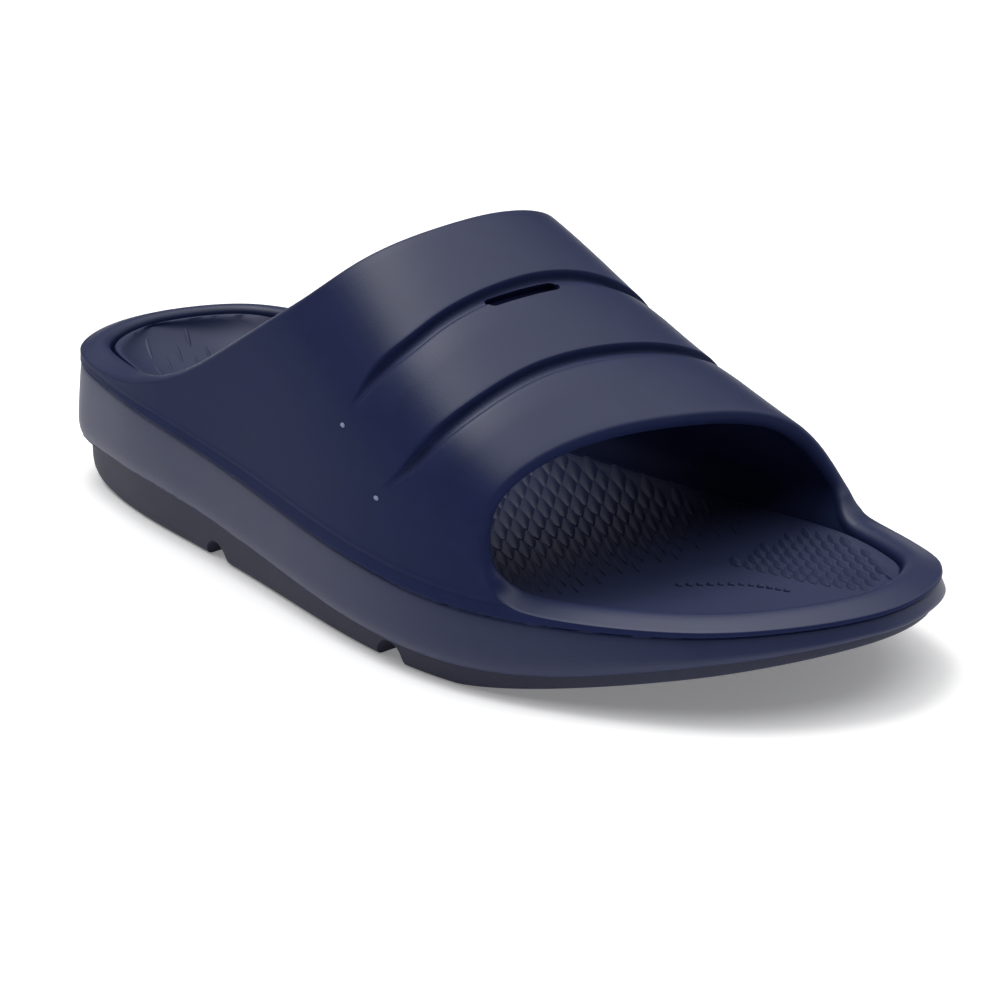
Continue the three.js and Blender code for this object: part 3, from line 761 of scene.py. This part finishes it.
        flat = np.zeros_like(lines[0][0])
        column(*lines[0], flat)
        previous = lines[0]
        for groove, line, span in ((self.rear, lines[1], self.spans[0]),
                                   (self.front, lines[2], self.spans[1])):
            at, over = line
            step = self.last.arch(at + small, over) - self.last.arch(at - small, over)
            per_mm = 2 * small / np.linalg.norm(step, axis=-1)
            strength = groove.strength(over)
            width = lerp(0.55, 1.0, strength)
            first = (at + groove.section[0][0] * per_mm * width, over)
            for k in range(1, span):
                share = k / span
                column(lerp(previous[0], first[0], share), lerp(previous[1], first[1], share), flat)
            for ahead, depth in groove.section:
                column(at + ahead * per_mm * width, over, depth * strength)
            previous = (places[-1], over)
        for k in range(1, self.spans[2]):
            share = k / self.spans[2]
            column(lerp(previous[0], lines[3][0], share), lerp(previous[1], lines[3][1], share), flat)
        column(*lines[3], flat)
        return np.stack(places, axis=1), np.stack(shares, axis=1), np.stack(depths, axis=1)

    def base(self, at: Array, over: Array) -> Array:
        """Returns the inner lower edge of the rim below the given base places."""
        turn = np.where(over < 0.5, at, 2 * LAST_SECTION - at)
        along, out = self.last.outline(turn, self.rim_width)
        return self.last.place(along, out, self.last.joint(along) + self.seam / 2)

    def lip(self, outer: Array, inner: Array, sign: float) -> Array:
        """Returns the rounded edge between the outer and inner loops of an opening.

        Args:
            outer: Closed loop of points on the outer face.
            inner: The same number of points on the inner face.
            sign: 1 or -1, so that the edge bulges into the opening.

        Returns:
            Rows by points.
        """
        tangent = np.roll(outer, -1, axis=0) - np.roll(outer, 1, axis=0)
        through = outer - inner
        away = sign * unit(np.cross(through, tangent))
        middle = (outer + inner) / 2
        thick = np.linalg.norm(through, axis=-1)[:, None]
        rise = np.minimum(self.lip_rise, 0.42 * thick)
        lean = self.lip_lean * smooth((thick - self.wall) / (self.rim_width - self.wall))
        rows = []
        for angle in np.linspace(0, math.pi, self.lip_rows + 1):
            swell = math.sin(angle) * (1 - lean * math.cos(angle))
            rows.append(middle + 0.5 * through * math.cos(angle) + away * rise * swell)
        return np.stack(rows)

    def build(self) -> bpy.types.Object:
        """Returns the finished piece, with its slot cut."""
        strap_at, strap_over, sunk = self.strap_block()
        shell = Shell()
        outers, inners = [], []
        for at, over, depth in (
            (strap_at, strap_over, sunk), (*self.rear_block(), 0.0), (*self.front_block(), 0.0),
        ):
            outer = self.outer(at, over, depth)
            inner = self.inner(at, over)
            rims = (0, -1) if at is strap_at else (0,)
            for row in rims:
                inner[row] = self.base(at[row], over[row])
                shell.grid(np.stack([outer[row], inner[row]]))
            shell.grid(outer)
            shell.grid(inner)
            outers.append(outer)
            inners.append(inner)
        wall = len(self.rises(Side.LATERAL, np.array([6.0]), np.array([0.2]))) - 1
        bridge = slice(wall + 1, wall + self.strap_rows)
        for block, column, sign in ((1, 0, -1.0), (2, -1, 1.0)):
            loops = []
            for skin in (outers, inners):
                loops.append(np.concatenate([skin[block][-1], skin[0][bridge, column][::-1]]))
            shell.grid(self.lip(*loops, sign), closed=True)
        piece = shell.build("upper_shell")
        cut(piece, self.slot_cutter())
        shade(piece)
        return piece

    def slot_cutter(self) -> bpy.types.Object:
        """Returns a bar with round ends that reaches through the strap."""
        ends = self.last.arch(np.array(self.slot_at), np.array(self.slot_over))
        centre = np.array([np.mean(self.slot_at)]), np.array([np.mean(self.slot_over)])
        middle = self.last.arch(*centre)[0]
        out = self.last.arch_normal(*centre)[0]
        run = unit(ends[1] - ends[0])
        ahead = np.cross(out, run)
        half = self.slot_width / 2
        reach = np.linalg.norm(ends[1] - ends[0]) / 2 - half
        rim = []
        for centre, start in ((reach, -math.pi / 2), (-reach, math.pi / 2)):
            for angle in np.linspace(start, start + math.pi, 9):
                x, y = centre + half * math.cos(angle), half * math.sin(angle)
                rim.append(middle + run * x + ahead * y)
        rim = np.array(rim)
        depth = 2 * self.wall
        shell = Shell()
        shell.grid(np.stack([rim - out * depth, rim + out * depth]), closed=True)
        for level in (-depth, depth):
            centre = np.broadcast_to(middle + out * level, rim.shape)
            shell.grid(np.stack([rim + out * level, centre]), closed=True)
        return shell.build("slot_cutter")


@dataclass
class Sole:
    """What the sole's pieces share: rings round the outline, closed by ladders of rungs."""

    last: Last
    seam: float = 0.2
    columns: int = 132

    def ring(self, inset: float, height: HeightRule) -> Array:
        """Returns a closed ring of points that follows the outline."""
        turn = np.arange(2 * self.columns) * LAST_SECTION / self.columns
        along, out = self.last.outline(turn, inset)
        return self.last.place(along, out, height(along, np.ones_like(along)))

    def ladder(self, inset: float, height: HeightRule, rungs: int) -> Array:
        """Returns a grid that closes a ring, from the lateral side to the medial one."""
        at = np.arange(self.columns + 1) * LAST_SECTION / self.columns
        near = self.last.outline(at, inset)
        far = self.last.outline(2 * LAST_SECTION - at, inset)
        share = np.linspace(0, 1, rungs + 1)[:, None]
        along = lerp(near[0], far[0], share)
        out = lerp(near[1], far[1], share)
        edge = np.broadcast_to(np.abs(2 * share - 1), along.shape)
        return self.last.place(along, out, height(along, edge))

    def body(self, name: str, layers: list[tuple[float, HeightRule]], bottom: HeightRule,
             top: HeightRule, rungs: tuple[int, int]) -> bpy.types.Object:
        """Returns a closed piece from rings listed from its underside to its top.

        Args:
            name: The piece's name.
            layers: Inset and height rule of each ring.
            bottom: Height rule of the underside.
            top: Height rule of the top.
            rungs: Rungs of the underside and of the top.

        Returns:
            The piece.
        """
        shell = Shell()
        shell.grid(np.stack([self.ring(inset, height) for inset, height in layers]), closed=True)
        shell.grid(self.ladder(layers[0][0], bottom, rungs[0]))
        shell.grid(self.ladder(layers[-1][0], top, rungs[1]))
        return shell.build(name)


def raised(height: HeightRule, by: float) -> HeightRule:
    """Returns a height rule moved up."""
    return lambda along, edge: height(along, edge) + by


def between(low: HeightRule, high: HeightRule, share: float) -> HeightRule:
    """Returns a height rule at a share of the way between two others."""
    return lambda along, edge: lerp(low(along, edge), high(along, edge), share)


@dataclass
class Midsole(Sole):
    """The thick foam body with its flared side."""

    rim_width: float = 9.5
    insole_heel: float = 6.0
    insole_toe: float = 3.0
    # Side wall from the step up to the joint: share of its height, and inset
    side: tuple[tuple[float, float], ...] = (
        (0.0, 1.2), (0.0, 0.6), (0.012, 0.15), (0.03, -0.2), (0.06, -0.65), (0.1, -1.1),
        (0.15, -1.42), (0.21, -1.58), (0.28, -1.6), (0.4, -1.4), (0.6, -0.96), (0.8, -0.48),
        (0.92, -0.15), (0.97, 0.05), (0.992, 0.3), (1.0, 0.75),
    )

    def pocket(self, along: Array, edge: Array) -> Array:
        """Returns the height of the pocket's floor, under the insole."""
        thickness = lerp(self.insole_heel, self.insole_toe, smooth(along / self.last.length))
        return self.last.footbed(along, edge) - thickness

    def build(self) -> bpy.types.Object:
        """Returns the finished piece."""
        bottom = raised(lambda along, edge: self.last.step(along), self.seam / 2)
        top = raised(lambda along, edge: self.last.joint(along), -self.seam / 2)
        layers = [(inset, between(bottom, top, share)) for share, inset in self.side]
        layers += [(self.rim_width, top), (self.rim_width, self.pocket)]
        piece = self.body("midsole_body", layers, bottom, self.pocket, (4, 16))
        shade(piece)
        return piece


@dataclass
class Outsole(Sole):
    """The tread layer with its cross channels and a fine wavy tread."""

    tuck: float = 1.8
    floor_edge: float = 4.0
    channel_width: float = 12.0
    channel_height: float = 5.5
    channels: tuple[float, float] = (92.0, 179.7)
    tread_depth: float = 1.3
    tread_pitch: float = 9.0
    wave: float = 3.2
    waves: float = 1.5  # over half the sole's width
    columns: int = 264

    def underside(self, along: Array, edge: Array) -> Array:
        """Returns the height of the underside: wavy grooves that stop short of its edge."""
        bend = self.wave * np.cos(2 * math.pi * self.waves * edge)
        groove = smooth(2.2 * np.cos(2 * math.pi * (along + bend) / self.tread_pitch) - 0.9)
        ends = smooth((along - 14) / 10) * smooth((self.last.length - 14 - along) / 10)
        return self.last.floor(along) + self.tread_depth * groove * ends * smooth((0.9 - edge) / 0.1)

    def build(self) -> bpy.types.Object:
        """Returns the finished piece, with its channels cut."""
        floor = lambda along, edge: self.last.floor(along)
        top = raised(lambda along, edge: self.last.step(along), -self.seam / 2)
        layers = [
            (self.floor_edge, floor),
            (lerp(self.tuck, self.floor_edge, 0.62), between(floor, top, 0.025)),
            (lerp(self.tuck, self.floor_edge, 0.3), between(floor, top, 0.09)),
            (lerp(self.tuck, self.floor_edge, 0.1), between(floor, top, 0.2)),
            (self.tuck, between(floor, top, 0.4)),
            (self.tuck, top),
        ]
        piece = self.body("outsole_tread", layers, self.underside, top, (48, 4))
        for place in self.channels:
            cut(piece, self.channel_cutter(place))
        shade(piece)
        return piece

    def channel_cutter(self, along: float) -> bpy.types.Object:
        """Returns a round-topped bar that reaches past both sides of the sole."""
        half, below = self.channel_width / 2, 2.0
        curve = []
        for start, bend, end in (
            ((half, -below), (0.9 * half, self.channel_height), (0, self.channel_height)),
            ((0, self.channel_height), (-0.9 * half, self.channel_height), (-half, -below)),
        ):
            for t in np.linspace(0, 1, 9)[:-1]:
                curve.append(sum(w * np.array(p) for w, p in zip(
                    ((1 - t) ** 2, 2 * t * (1 - t), t * t), (start, bend, end))))
        curve.append(np.array((-half, -below)))
        outline = np.array(curve)
        reach = self.last.ball_width
        y = self.last.length / 2 - along
        rings = [np.stack([np.full(len(outline), x), y + outline[:, 0], outline[:, 1]], axis=-1)
                 for x in (-reach, reach)]
        shell = Shell()
        shell.grid(np.stack(rings), closed=True)
        for ring in rings:
            centre = np.broadcast_to(ring.mean(axis=0), ring.shape)
            shell.grid(np.stack([ring, centre]), closed=True)
        return shell.build("channel_cutter")


@dataclass
class Footbed(Sole):
    """The insole with its dished, textured top."""

    rim_width: float = 9.5
    insole_heel: float = 6.0
    insole_toe: float = 3.0
    edge_round: float = 0.6
    rungs: int = 40

    def build(self) -> bpy.types.Object:
        """Returns the finished piece."""
        pocket = Midsole(self.last).pocket
        underside = raised(pocket, self.seam)
        inset = self.rim_width + self.seam
        layers = [(inset, underside), (inset, raised(self.last.bed, -self.edge_round))]
        for angle in np.linspace(0, math.pi / 2, 5)[1:]:
            lift = -self.edge_round * (1 - math.sin(angle))
            side = inset + self.edge_round * (1 - math.cos(angle))
            layers.append((side, raised(self.last.bed, lift)))
        piece = self.body("footbed", layers, underside, self.last.bed, (16, self.rungs))
        shade(piece)
        return piece


@dataclass(frozen=True)
class ScaleZone:
    """A field of lens-shaped scales on the footbed: where they lie, which way and how large."""

    start: float  # distances from the heel end between which it lies
    end: float
    length: float
    pitch: float  # between scales side by side
    height: float
    turn: float  # degrees from the foot's length towards the lateral side
    width: float  # share of the pitch
    near: float = 0.0  # shares of the way over the footbed, from the lateral side
    far: float = 1.0
    fade: float = 1.0  # distance over which the scales grow slim and low before its toe end

    def spots(self) -> tuple[Array, Array]:
        """Returns distances along and out of the field's staggered rows."""
        angle = math.radians(self.turn)
        row, place = np.meshgrid(np.arange(-160, 161), np.arange(-60, 61), indexing="ij")
        run = (place + 0.5 * (row % 2)) * self.length
        aside = 0.5 * row * self.pitch
        along = self.start + run * math.cos(angle) - aside * math.sin(angle)
        out = run * math.sin(angle) + aside * math.cos(angle)
        inside = (along > self.start) & (along < self.end)
        return along[inside], out[inside]

    def sizes(self, along: Array) -> Array:
        """Returns length, width and height of the scales at distances from the heel end."""
        left = lerp(0.3, 1.0, smooth((self.end - along) / self.fade))
        full = np.ones_like(along)
        return np.stack([self.length * full, self.pitch * self.width * left,
                         self.height * left], axis=-1)


@dataclass
class FootbedScales(Sole):
    """Low lens-shaped scales moulded on the footbed, long at the heel and short at the toes."""

    rim_width: float = 9.5
    margin: float = 2.6  # bare border inside the footbed's edge
    tilt: float = 3.0  # degrees that a scale's front end stands up
    jitter: float = 0.12
    seed: int = 4
    zones: tuple[ScaleZone, ...] = (
        ScaleZone(13, 62, 11.0, 8.6, 0.45, 24.0, 0.13, near=0.14, far=0.84),
        ScaleZone(64, 213, 13.0, 4.4, 1.0, 34.0, 1.0, fade=55.0),
        ScaleZone(229, 272, 6.6, 4.8, 0.9, 30.0, 0.52, near=0.62),
    )
    # A row of small dots behind the smooth strip at the toes: distances along and out
    dots: tuple[tuple[float, float], ...] = (
        (232, 5.5), (234, 3.4), (238.5, -1.0), (243, -4.8), (247, -6.4), (251, -7.5), (257, -8.5),
    )
    dot_pitch: float = 2.6
    dot_size: tuple[float, float, float] = (2.1, 1.2, 0.75)

    def share(self, along: Array, out: Array) -> Array:
        """Returns the share of the way over the footbed, from its lateral edge, of points on it."""
        turn = np.linspace(0, LAST_SECTION, 400)
        inset = self.rim_width + self.margin
        near = self.last.outline(turn, inset)
        far = self.last.outline(2 * LAST_SECTION - turn, inset)
        first = np.interp(along, *(v[:-25] for v in near), left=0.0, right=0.0)
        last = np.interp(along, *(v[:-25] for v in far), left=0.0, right=0.0)
        width = np.maximum(first - last, 1.0)
        return np.where(first - last > 6, (first - out) / width, -1.0)

    def seeds(self) -> bpy.types.Object:
        """Returns a mesh of points with the normal, run and size of the scale on each."""
        rows = []
        for zone in self.zones:
            along, out = zone.spots()
            share = self.share(along, out)
            keep = (share > zone.near) & (share < zone.far)
            for ahead, aside in ((1.5, 0), (-1.5, 0), (0, 1.5), (0, -1.5)):
                keep &= self.share(along + ahead, out + aside) >= 0
            angle = np.full(keep.sum(), math.radians(zone.turn))
            rows.append(np.column_stack([along[keep], out[keep], angle, zone.sizes(along[keep])]))
        line = np.array(self.dots)
        reach = np.concatenate([[0], np.cumsum(np.hypot(*np.diff(line, axis=0).T))])
        steps = np.arange(0, reach[-1], self.dot_pitch)
        size = np.tile(self.dot_size, (len(steps), 1))
        rows.append(np.column_stack([np.interp(steps, reach, line[:, 0]),
                                     np.interp(steps, reach, line[:, 1]), 0 * steps, size]))
        table = np.concatenate(rows)
        along, out, angle = table[:, :3].T

        def bed(along: Array, out: Array) -> Array:
            edge = np.clip(np.abs(2 * self.share(along, out) - 1), 0, 1) * 0.93
            return self.last.place(along, out, self.last.bed(along, edge))

        points = bed(along, out)
        ahead = unit(bed(along + 1, out) - bed(along - 1, out))
        aside = unit(bed(along, out + 1) - bed(along, out - 1))
        normal = unit(np.cross(ahead, aside))
        normal *= np.sign(normal[:, 2:3])
        run = unit(ahead * np.cos(angle)[:, None] + aside * np.sin(angle)[:, None])
        raised_front = unit(normal - run * math.tan(math.radians(self.tilt)))
        mesh = bpy.data.meshes.new("scale_seeds")
        mesh.from_pydata((points * MM).tolist(), [], [])
        for name, values in (("out", raised_front), ("run", run), ("size", table[:, 3:] * MM)):
            layer = mesh.attributes.new(name, "FLOAT_VECTOR", "POINT")
            layer.data.foreach_set("vector", values.ravel())
        piece = bpy.data.objects.new("footbed_scales", mesh)
        bpy.context.scene.collection.objects.link(piece)
        return piece

    def scale(self) -> bpy.types.Object:
        """Returns one scale, 1 long, 1 wide and 1 high: pointed at both ends, with a soft ridge."""
        along = np.linspace(-0.62, 0.62, 7)
        across = np.linspace(-1, 1, 5)
        x, v = np.meshgrid(along, across, indexing="ij")
        slim = np.maximum(np.cos(np.pi * x / 1.24), 0)
        top = np.stack([x, 0.56 * v * slim**0.8, slim**0.6 * (1 - np.abs(v) ** 1.5)], axis=-1)
        under = (top * (1, 1, 0) - (0, 0, 0.8))[:, [0, -1]]
        shell = Shell()
        shell.grid(top / MM)
        shell.grid(under / MM)
        for edge in (0, -1):
            shell.grid(np.stack([top[:, edge], under[:, edge]]) / MM)
        return shell.build("scale_form")

    def tree(self) -> tuple[bpy.types.NodeTree, dict[str, str]]:
        """Returns the node tree that sets a scale on each point, and its inputs' identifiers."""
        tree = bpy.data.node_groups.new("Footbed scales", "GeometryNodeTree")
        face = tree.interface
        face.new_socket("Geometry", in_out="INPUT", socket_type="NodeSocketGeometry")
        face.new_socket("Geometry", in_out="OUTPUT", socket_type="NodeSocketGeometry")
        inputs = {}
        for name, kind in (("Scale", "Object"), ("Jitter", "Float"), ("Seed", "Int"),
                           ("Material", "Material")):
            socket = face.new_socket(name, in_out="INPUT", socket_type=f"NodeSocket{kind}")
            inputs[name] = socket.identifier
        given = add_node(tree, "NodeGroupInput").outputs
        form = add_node(tree, "GeometryNodeObjectInfo", {"Object": given["Scale"]})
        out, run, size = (
            add_node(tree, "GeometryNodeInputNamedAttribute", {"Name": name},
                     data_type="FLOAT_VECTOR").outputs["Attribute"]
            for name in ("out", "run", "size")
        )
        turn = add_node(tree, "FunctionNodeAxesToRotation", {
            "Primary Axis": out, "Secondary Axis": run,
        }, primary_axis="Z", secondary_axis="X")
        low = add_node(tree, "ShaderNodeMath", {0: 1.0, 1: given["Jitter"]}, operation="SUBTRACT")
        high = add_node(tree, "ShaderNodeMath", {0: 1.0, 1: given["Jitter"]}, operation="ADD")
        jitter = add_node(tree, "FunctionNodeRandomValue", {
            2: low.outputs[0], 3: high.outputs[0], "Seed": given["Seed"],
        }, data_type="FLOAT")
        scale = add_node(tree, "ShaderNodeVectorMath", {
            0: size, "Scale": jitter.outputs[1],
        }, operation="SCALE")
        spread = add_node(tree, "GeometryNodeInstanceOnPoints", {
            "Points": given["Geometry"], "Instance": form.outputs["Geometry"],
            "Rotation": turn.outputs["Rotation"], "Scale": scale.outputs["Vector"],
        })
        real = add_node(tree, "GeometryNodeRealizeInstances", {"Geometry": spread.outputs[0]})
        painted = add_node(tree, "GeometryNodeSetMaterial", {
            "Geometry": real.outputs[0], "Material": given["Material"],
        })
        add_node(tree, "NodeGroupOutput", {"Geometry": painted.outputs[0]})
        return tree, inputs

    def build(self, finish: bpy.types.Material) -> bpy.types.Object:
        """Returns all the scales as one mesh."""
        piece, form = self.seeds(), self.scale()
        tree, inputs = self.tree()
        modifier = piece.modifiers.new("scales", "NODES")
        modifier.node_group = tree
        values = {"Scale": form, "Jitter": self.jitter, "Seed": self.seed, "Material": finish}
        for name, value in values.items():
            modifier[inputs[name]] = value
        bake(piece)
        mesh = form.data
        bpy.data.objects.remove(form)
        bpy.data.meshes.remove(mesh)
        shade(piece)
        return piece


@dataclass
class GateMarks:
    """Two small pale marks low on the lateral wall, where the foam was fed into the mould."""

    last: Last
    places: tuple[tuple[float, float], ...] = ((6.564, 0.1082), (7.059, 0.067))
    length: float = 1.8
    width: float = 1.2
    rise: float = 0.3

    def build(self) -> bpy.types.Object:
        """Returns both marks as one mesh."""
        turn = np.linspace(0, 2 * math.pi, 15)[:-1]
        shell = Shell()
        for at, over in self.places:
            centre = self.last.arch(at, over)
            out = self.last.arch_normal(at, over)
            run = unit(np.cross(out, (0.0, 0.0, 1.0)))
            aside = np.cross(out, run)
            levels = ((-1.0, 1.0), (0.2, 1.0), (0.7, 0.85), (0.95, 0.5), (1.0, 0.0))
            rings = [
                centre + out * level * self.rise + share * 0.5 * (
                    np.outer(np.cos(turn) * self.length, run)
                    + np.outer(np.sin(turn) * self.width, aside))
                for level, share in ((-1.0, 0.0), *levels)
            ]
            shell.grid(np.stack(rings), closed=True)
        piece = shell.build("gate_marks")
        shade(piece)
        return piece


@dataclass
class PartingFlash(Sole):
    """Fine broken lines of flash along the joint and along the midsole's lower edge, coloured pale as
    a painted highlight of those edges.
    """

    radius: float = 0.24
    patch: float = 7.0  # length over which the flash comes and goes
    sides: int = 6
    lines: tuple[tuple[float, float], ...] = ((0.30, -0.35), (-0.55, 1.15))  # inset, rise
    columns: int = 300

    def paths(self) -> bpy.types.Object:
        """Returns a mesh of two closed lines: below the joint and above the step."""
        joint = lambda along, edge: self.last.joint(along) + self.lines[0][1]
        step = lambda along, edge: self.last.step(along) + self.lines[1][1]
        rings = [self.ring(self.lines[0][0], joint), self.ring(self.lines[1][0], step)]
        count = len(rings[0])
        edges = [(k + start, (k + 1) % count + start) for start in (0, count) for k in range(count)]
        mesh = bpy.data.meshes.new("parting_flash")
        mesh.from_pydata((np.concatenate(rings) * MM).tolist(), edges, [])
        piece = bpy.data.objects.new("parting_flash", mesh)
        bpy.context.scene.collection.objects.link(piece)
        return piece

    def tree(self) -> tuple[bpy.types.NodeTree, dict[str, str]]:
        """Returns the node tree that lays a broken bead along the lines, and its inputs."""
        tree = bpy.data.node_groups.new("Parting flash", "GeometryNodeTree")
        face = tree.interface
        face.new_socket("Geometry", in_out="INPUT", socket_type="NodeSocketGeometry")
        face.new_socket("Geometry", in_out="OUTPUT", socket_type="NodeSocketGeometry")
        inputs = {}
        for name, kind in (("Radius", "Float"), ("Frequency", "Float"), ("Sides", "Int"),
                           ("Material", "Material")):
            socket = face.new_socket(name, in_out="INPUT", socket_type=f"NodeSocket{kind}")
            inputs[name] = socket.identifier
        given = add_node(tree, "NodeGroupInput").outputs
        path = add_node(tree, "GeometryNodeMeshToCurve", {"Mesh": given["Geometry"]})
        noise = add_node(tree, "ShaderNodeTexNoise", {"Scale": given["Frequency"], "Detail": 3.0})
        thick = add_node(tree, "ShaderNodeMapRange", {
            "Value": noise.outputs["Fac"], "From Min": 0.4, "From Max": 0.62,
            "To Min": 0.25, "To Max": 1.0,
        })
        swell = add_node(tree, "GeometryNodeSetCurveRadius", {
            "Curve": path.outputs["Curve"], "Radius": thick.outputs["Result"],
        })
        ring = add_node(tree, "GeometryNodeCurvePrimitiveCircle", {
            "Resolution": given["Sides"], "Radius": given["Radius"],
        })
        inputs_to_mesh = {"Curve": swell.outputs["Curve"], "Profile Curve": ring.outputs["Curve"]}
        bead = add_node(tree, "GeometryNodeCurveToMesh", inputs_to_mesh)
        if "Scale" in bead.inputs:
            radius = add_node(tree, "GeometryNodeInputRadius")
            tree.links.new(radius.outputs[0], bead.inputs["Scale"])
        real = add_node(tree, "GeometryNodeRealizeInstances", {"Geometry": bead.outputs[0]})
        painted = add_node(tree, "GeometryNodeSetMaterial", {
            "Geometry": real.outputs[0], "Material": given["Material"],
        })
        add_node(tree, "NodeGroupOutput", {"Geometry": painted.outputs[0]})
        return tree, inputs

    def build(self, finish: bpy.types.Material) -> bpy.types.Object:
        """Returns the flash as one mesh."""
        piece = self.paths()
        tree, inputs = self.tree()
        modifier = piece.modifiers.new("flash", "NODES")
        modifier.node_group = tree
        values = {"Radius": self.radius * MM, "Frequency": 1 / (self.patch * MM),
                  "Sides": self.sides, "Material": finish}
        for name, value in values.items():
            modifier[inputs[name]] = value
        bake(piece)
        shade(piece)
        return piece


class Softbox(Enum):
    """The studio's lights: where they shine from, how wide in degrees, and how strong."""

    TOP = ((0.05, 0.05, 1.0), 86.0, 2.4)
    KEY = ((-0.05, 0.33, 0.94), 36.0, 1.35)
    FILL = ((0.85, -0.35, 0.4), 60.0, 0.6)


@dataclass
class Studio:
    """A pale floor, soft lights and the camera at the photograph's angle."""

    last: Last
    azimuth: float = -41.3
    elevation: float = 20.0
    roll: float = -1.5
    distance: float = 1100.0
    lens: float = 148.6  # millimetres on the sensor below
    sensor: float = 36.0
    aim: tuple[float, float] = (8.89, 18.44)  # where the camera looks: right and up of the origin
    table_glow: float = 0.2  # keeps the shadows on the floor pale
    surround: float = 0.05

    def camera(self) -> None:
        """Makes the camera."""
        a, e, r = (math.radians(v) for v in (self.azimuth, self.elevation, self.roll))
        back = Vector((math.sin(a) * math.cos(e), -math.cos(a) * math.cos(e), math.sin(e)))
        right = (-back).cross(Vector((0, 0, 1))).normalized()
        up = right.cross(-back)
        right, up = right * math.cos(r) + up * math.sin(r), up * math.cos(r) - right * math.sin(r)
        target = right * self.aim[0] + up * self.aim[1] + Vector((self.last.shift, 0, 0))
        data = bpy.data.cameras.new("camera")
        data.lens, data.sensor_width = self.lens, self.sensor
        data.clip_start, data.clip_end = 0.05, 50
        camera = bpy.data.objects.new("camera", data)
        camera.matrix_world = Matrix.Translation((target + back * self.distance) * MM) @ Matrix(
            (right, up, back)).transposed().to_4x4()
        bpy.context.scene.collection.objects.link(camera)
        bpy.context.scene.camera = camera

    def floor(self) -> None:
        """Makes the pale floor."""
        half = 20.0
        mesh = bpy.data.meshes.new("floor")
        corners = [(-half, -half, 0), (half, -half, 0), (half, half, 0), (-half, half, 0)]
        mesh.from_pydata(corners, [], [(0, 1, 2, 3)])
        floor = bpy.data.objects.new("floor", mesh)
        bpy.context.scene.collection.objects.link(floor)
        material = bpy.data.materials.new("Light table, matt white acrylic with a faint glow")
        material.use_nodes = True
        tree = material.node_tree
        tree.nodes.clear()
        shader = add_node(tree, "ShaderNodeBsdfPrincipled", {
            "Base Color": linear("fafafa"), "Roughness": 0.9, "Specular IOR Level": 0.1,
            "Emission Color": linear("ffffff"), "Emission Strength": self.table_glow,
        })
        add_node(tree, "ShaderNodeOutputMaterial", {"Surface": shader.outputs["BSDF"]})
        mesh.materials.append(material)

    def lights(self) -> None:
        """Makes the soft lights and the white surround."""
        for box in Softbox:
            source, width, strength = box.value
            data = bpy.data.lights.new(box.name.lower(), "SUN")
            data.angle, data.energy = math.radians(width), strength
            light = bpy.data.objects.new(box.name.lower(), data)
            light.location = source
            light.rotation_mode = "QUATERNION"
            light.rotation_quaternion = (-Vector(source)).to_track_quat("-Z", "Y")
            bpy.context.scene.collection.objects.link(light)
        world = bpy.data.worlds.new("white surround")
        world.use_nodes = True
        world.node_tree.nodes.clear()
        back = add_node(world.node_tree, "ShaderNodeBackground", {
            "Color": linear("ffffff"), "Strength": self.surround,
        })
        add_node(world.node_tree, "ShaderNodeOutputWorld", {"Surface": back.outputs["Background"]})
        bpy.context.scene.world = world
        bpy.context.scene.view_settings.view_transform = "Standard"


def fitted_last() -> Last:
    """Returns the last, moved sideways so that the midsole lies where the frame has it."""
    low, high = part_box("midsole")
    turn = np.linspace(0, 2 * LAST_SECTION, 4801)
    out = Last().outline(turn, -1.3)[1]
    middle = -(out.min() + out.max()) / 2
    return Last(shift=(low.x + high.x) / 2 / MM - middle, curves={})


def main() -> None:
    """Builds the pieces in order."""
    logging.basicConfig(level=logging.INFO, format="%(name)s: %(message)s")
    last = fitted_last()
    studio = Studio(last)
    studio.camera()
    studio.floor()
    studio.lights()
    finishes = Finishes()
    side, bed = finishes.side.material(), finishes.bed.material()
    dress(Outsole(last).build(), finishes.tread.material(), "outsole_foam", "outsole")
    dress(Midsole(last).build(), side, "midsole_foam", "midsole")
    dress(Footbed(last).build(), bed, "insole_foam", "insole")
    dress(FootbedScales(last).build(bed), bed, "insole_foam")
    dress(Upper(last).build(), finishes.upper.material(), "upper_foam", "upper")
    dress(GateMarks(last).build(), finishes.gate.material(), "upper_foam")
    flash = finishes.flash.material()
    dress(PartingFlash(last).build(flash), flash, "midsole_foam")


if __name__ == "__main__":
    main()
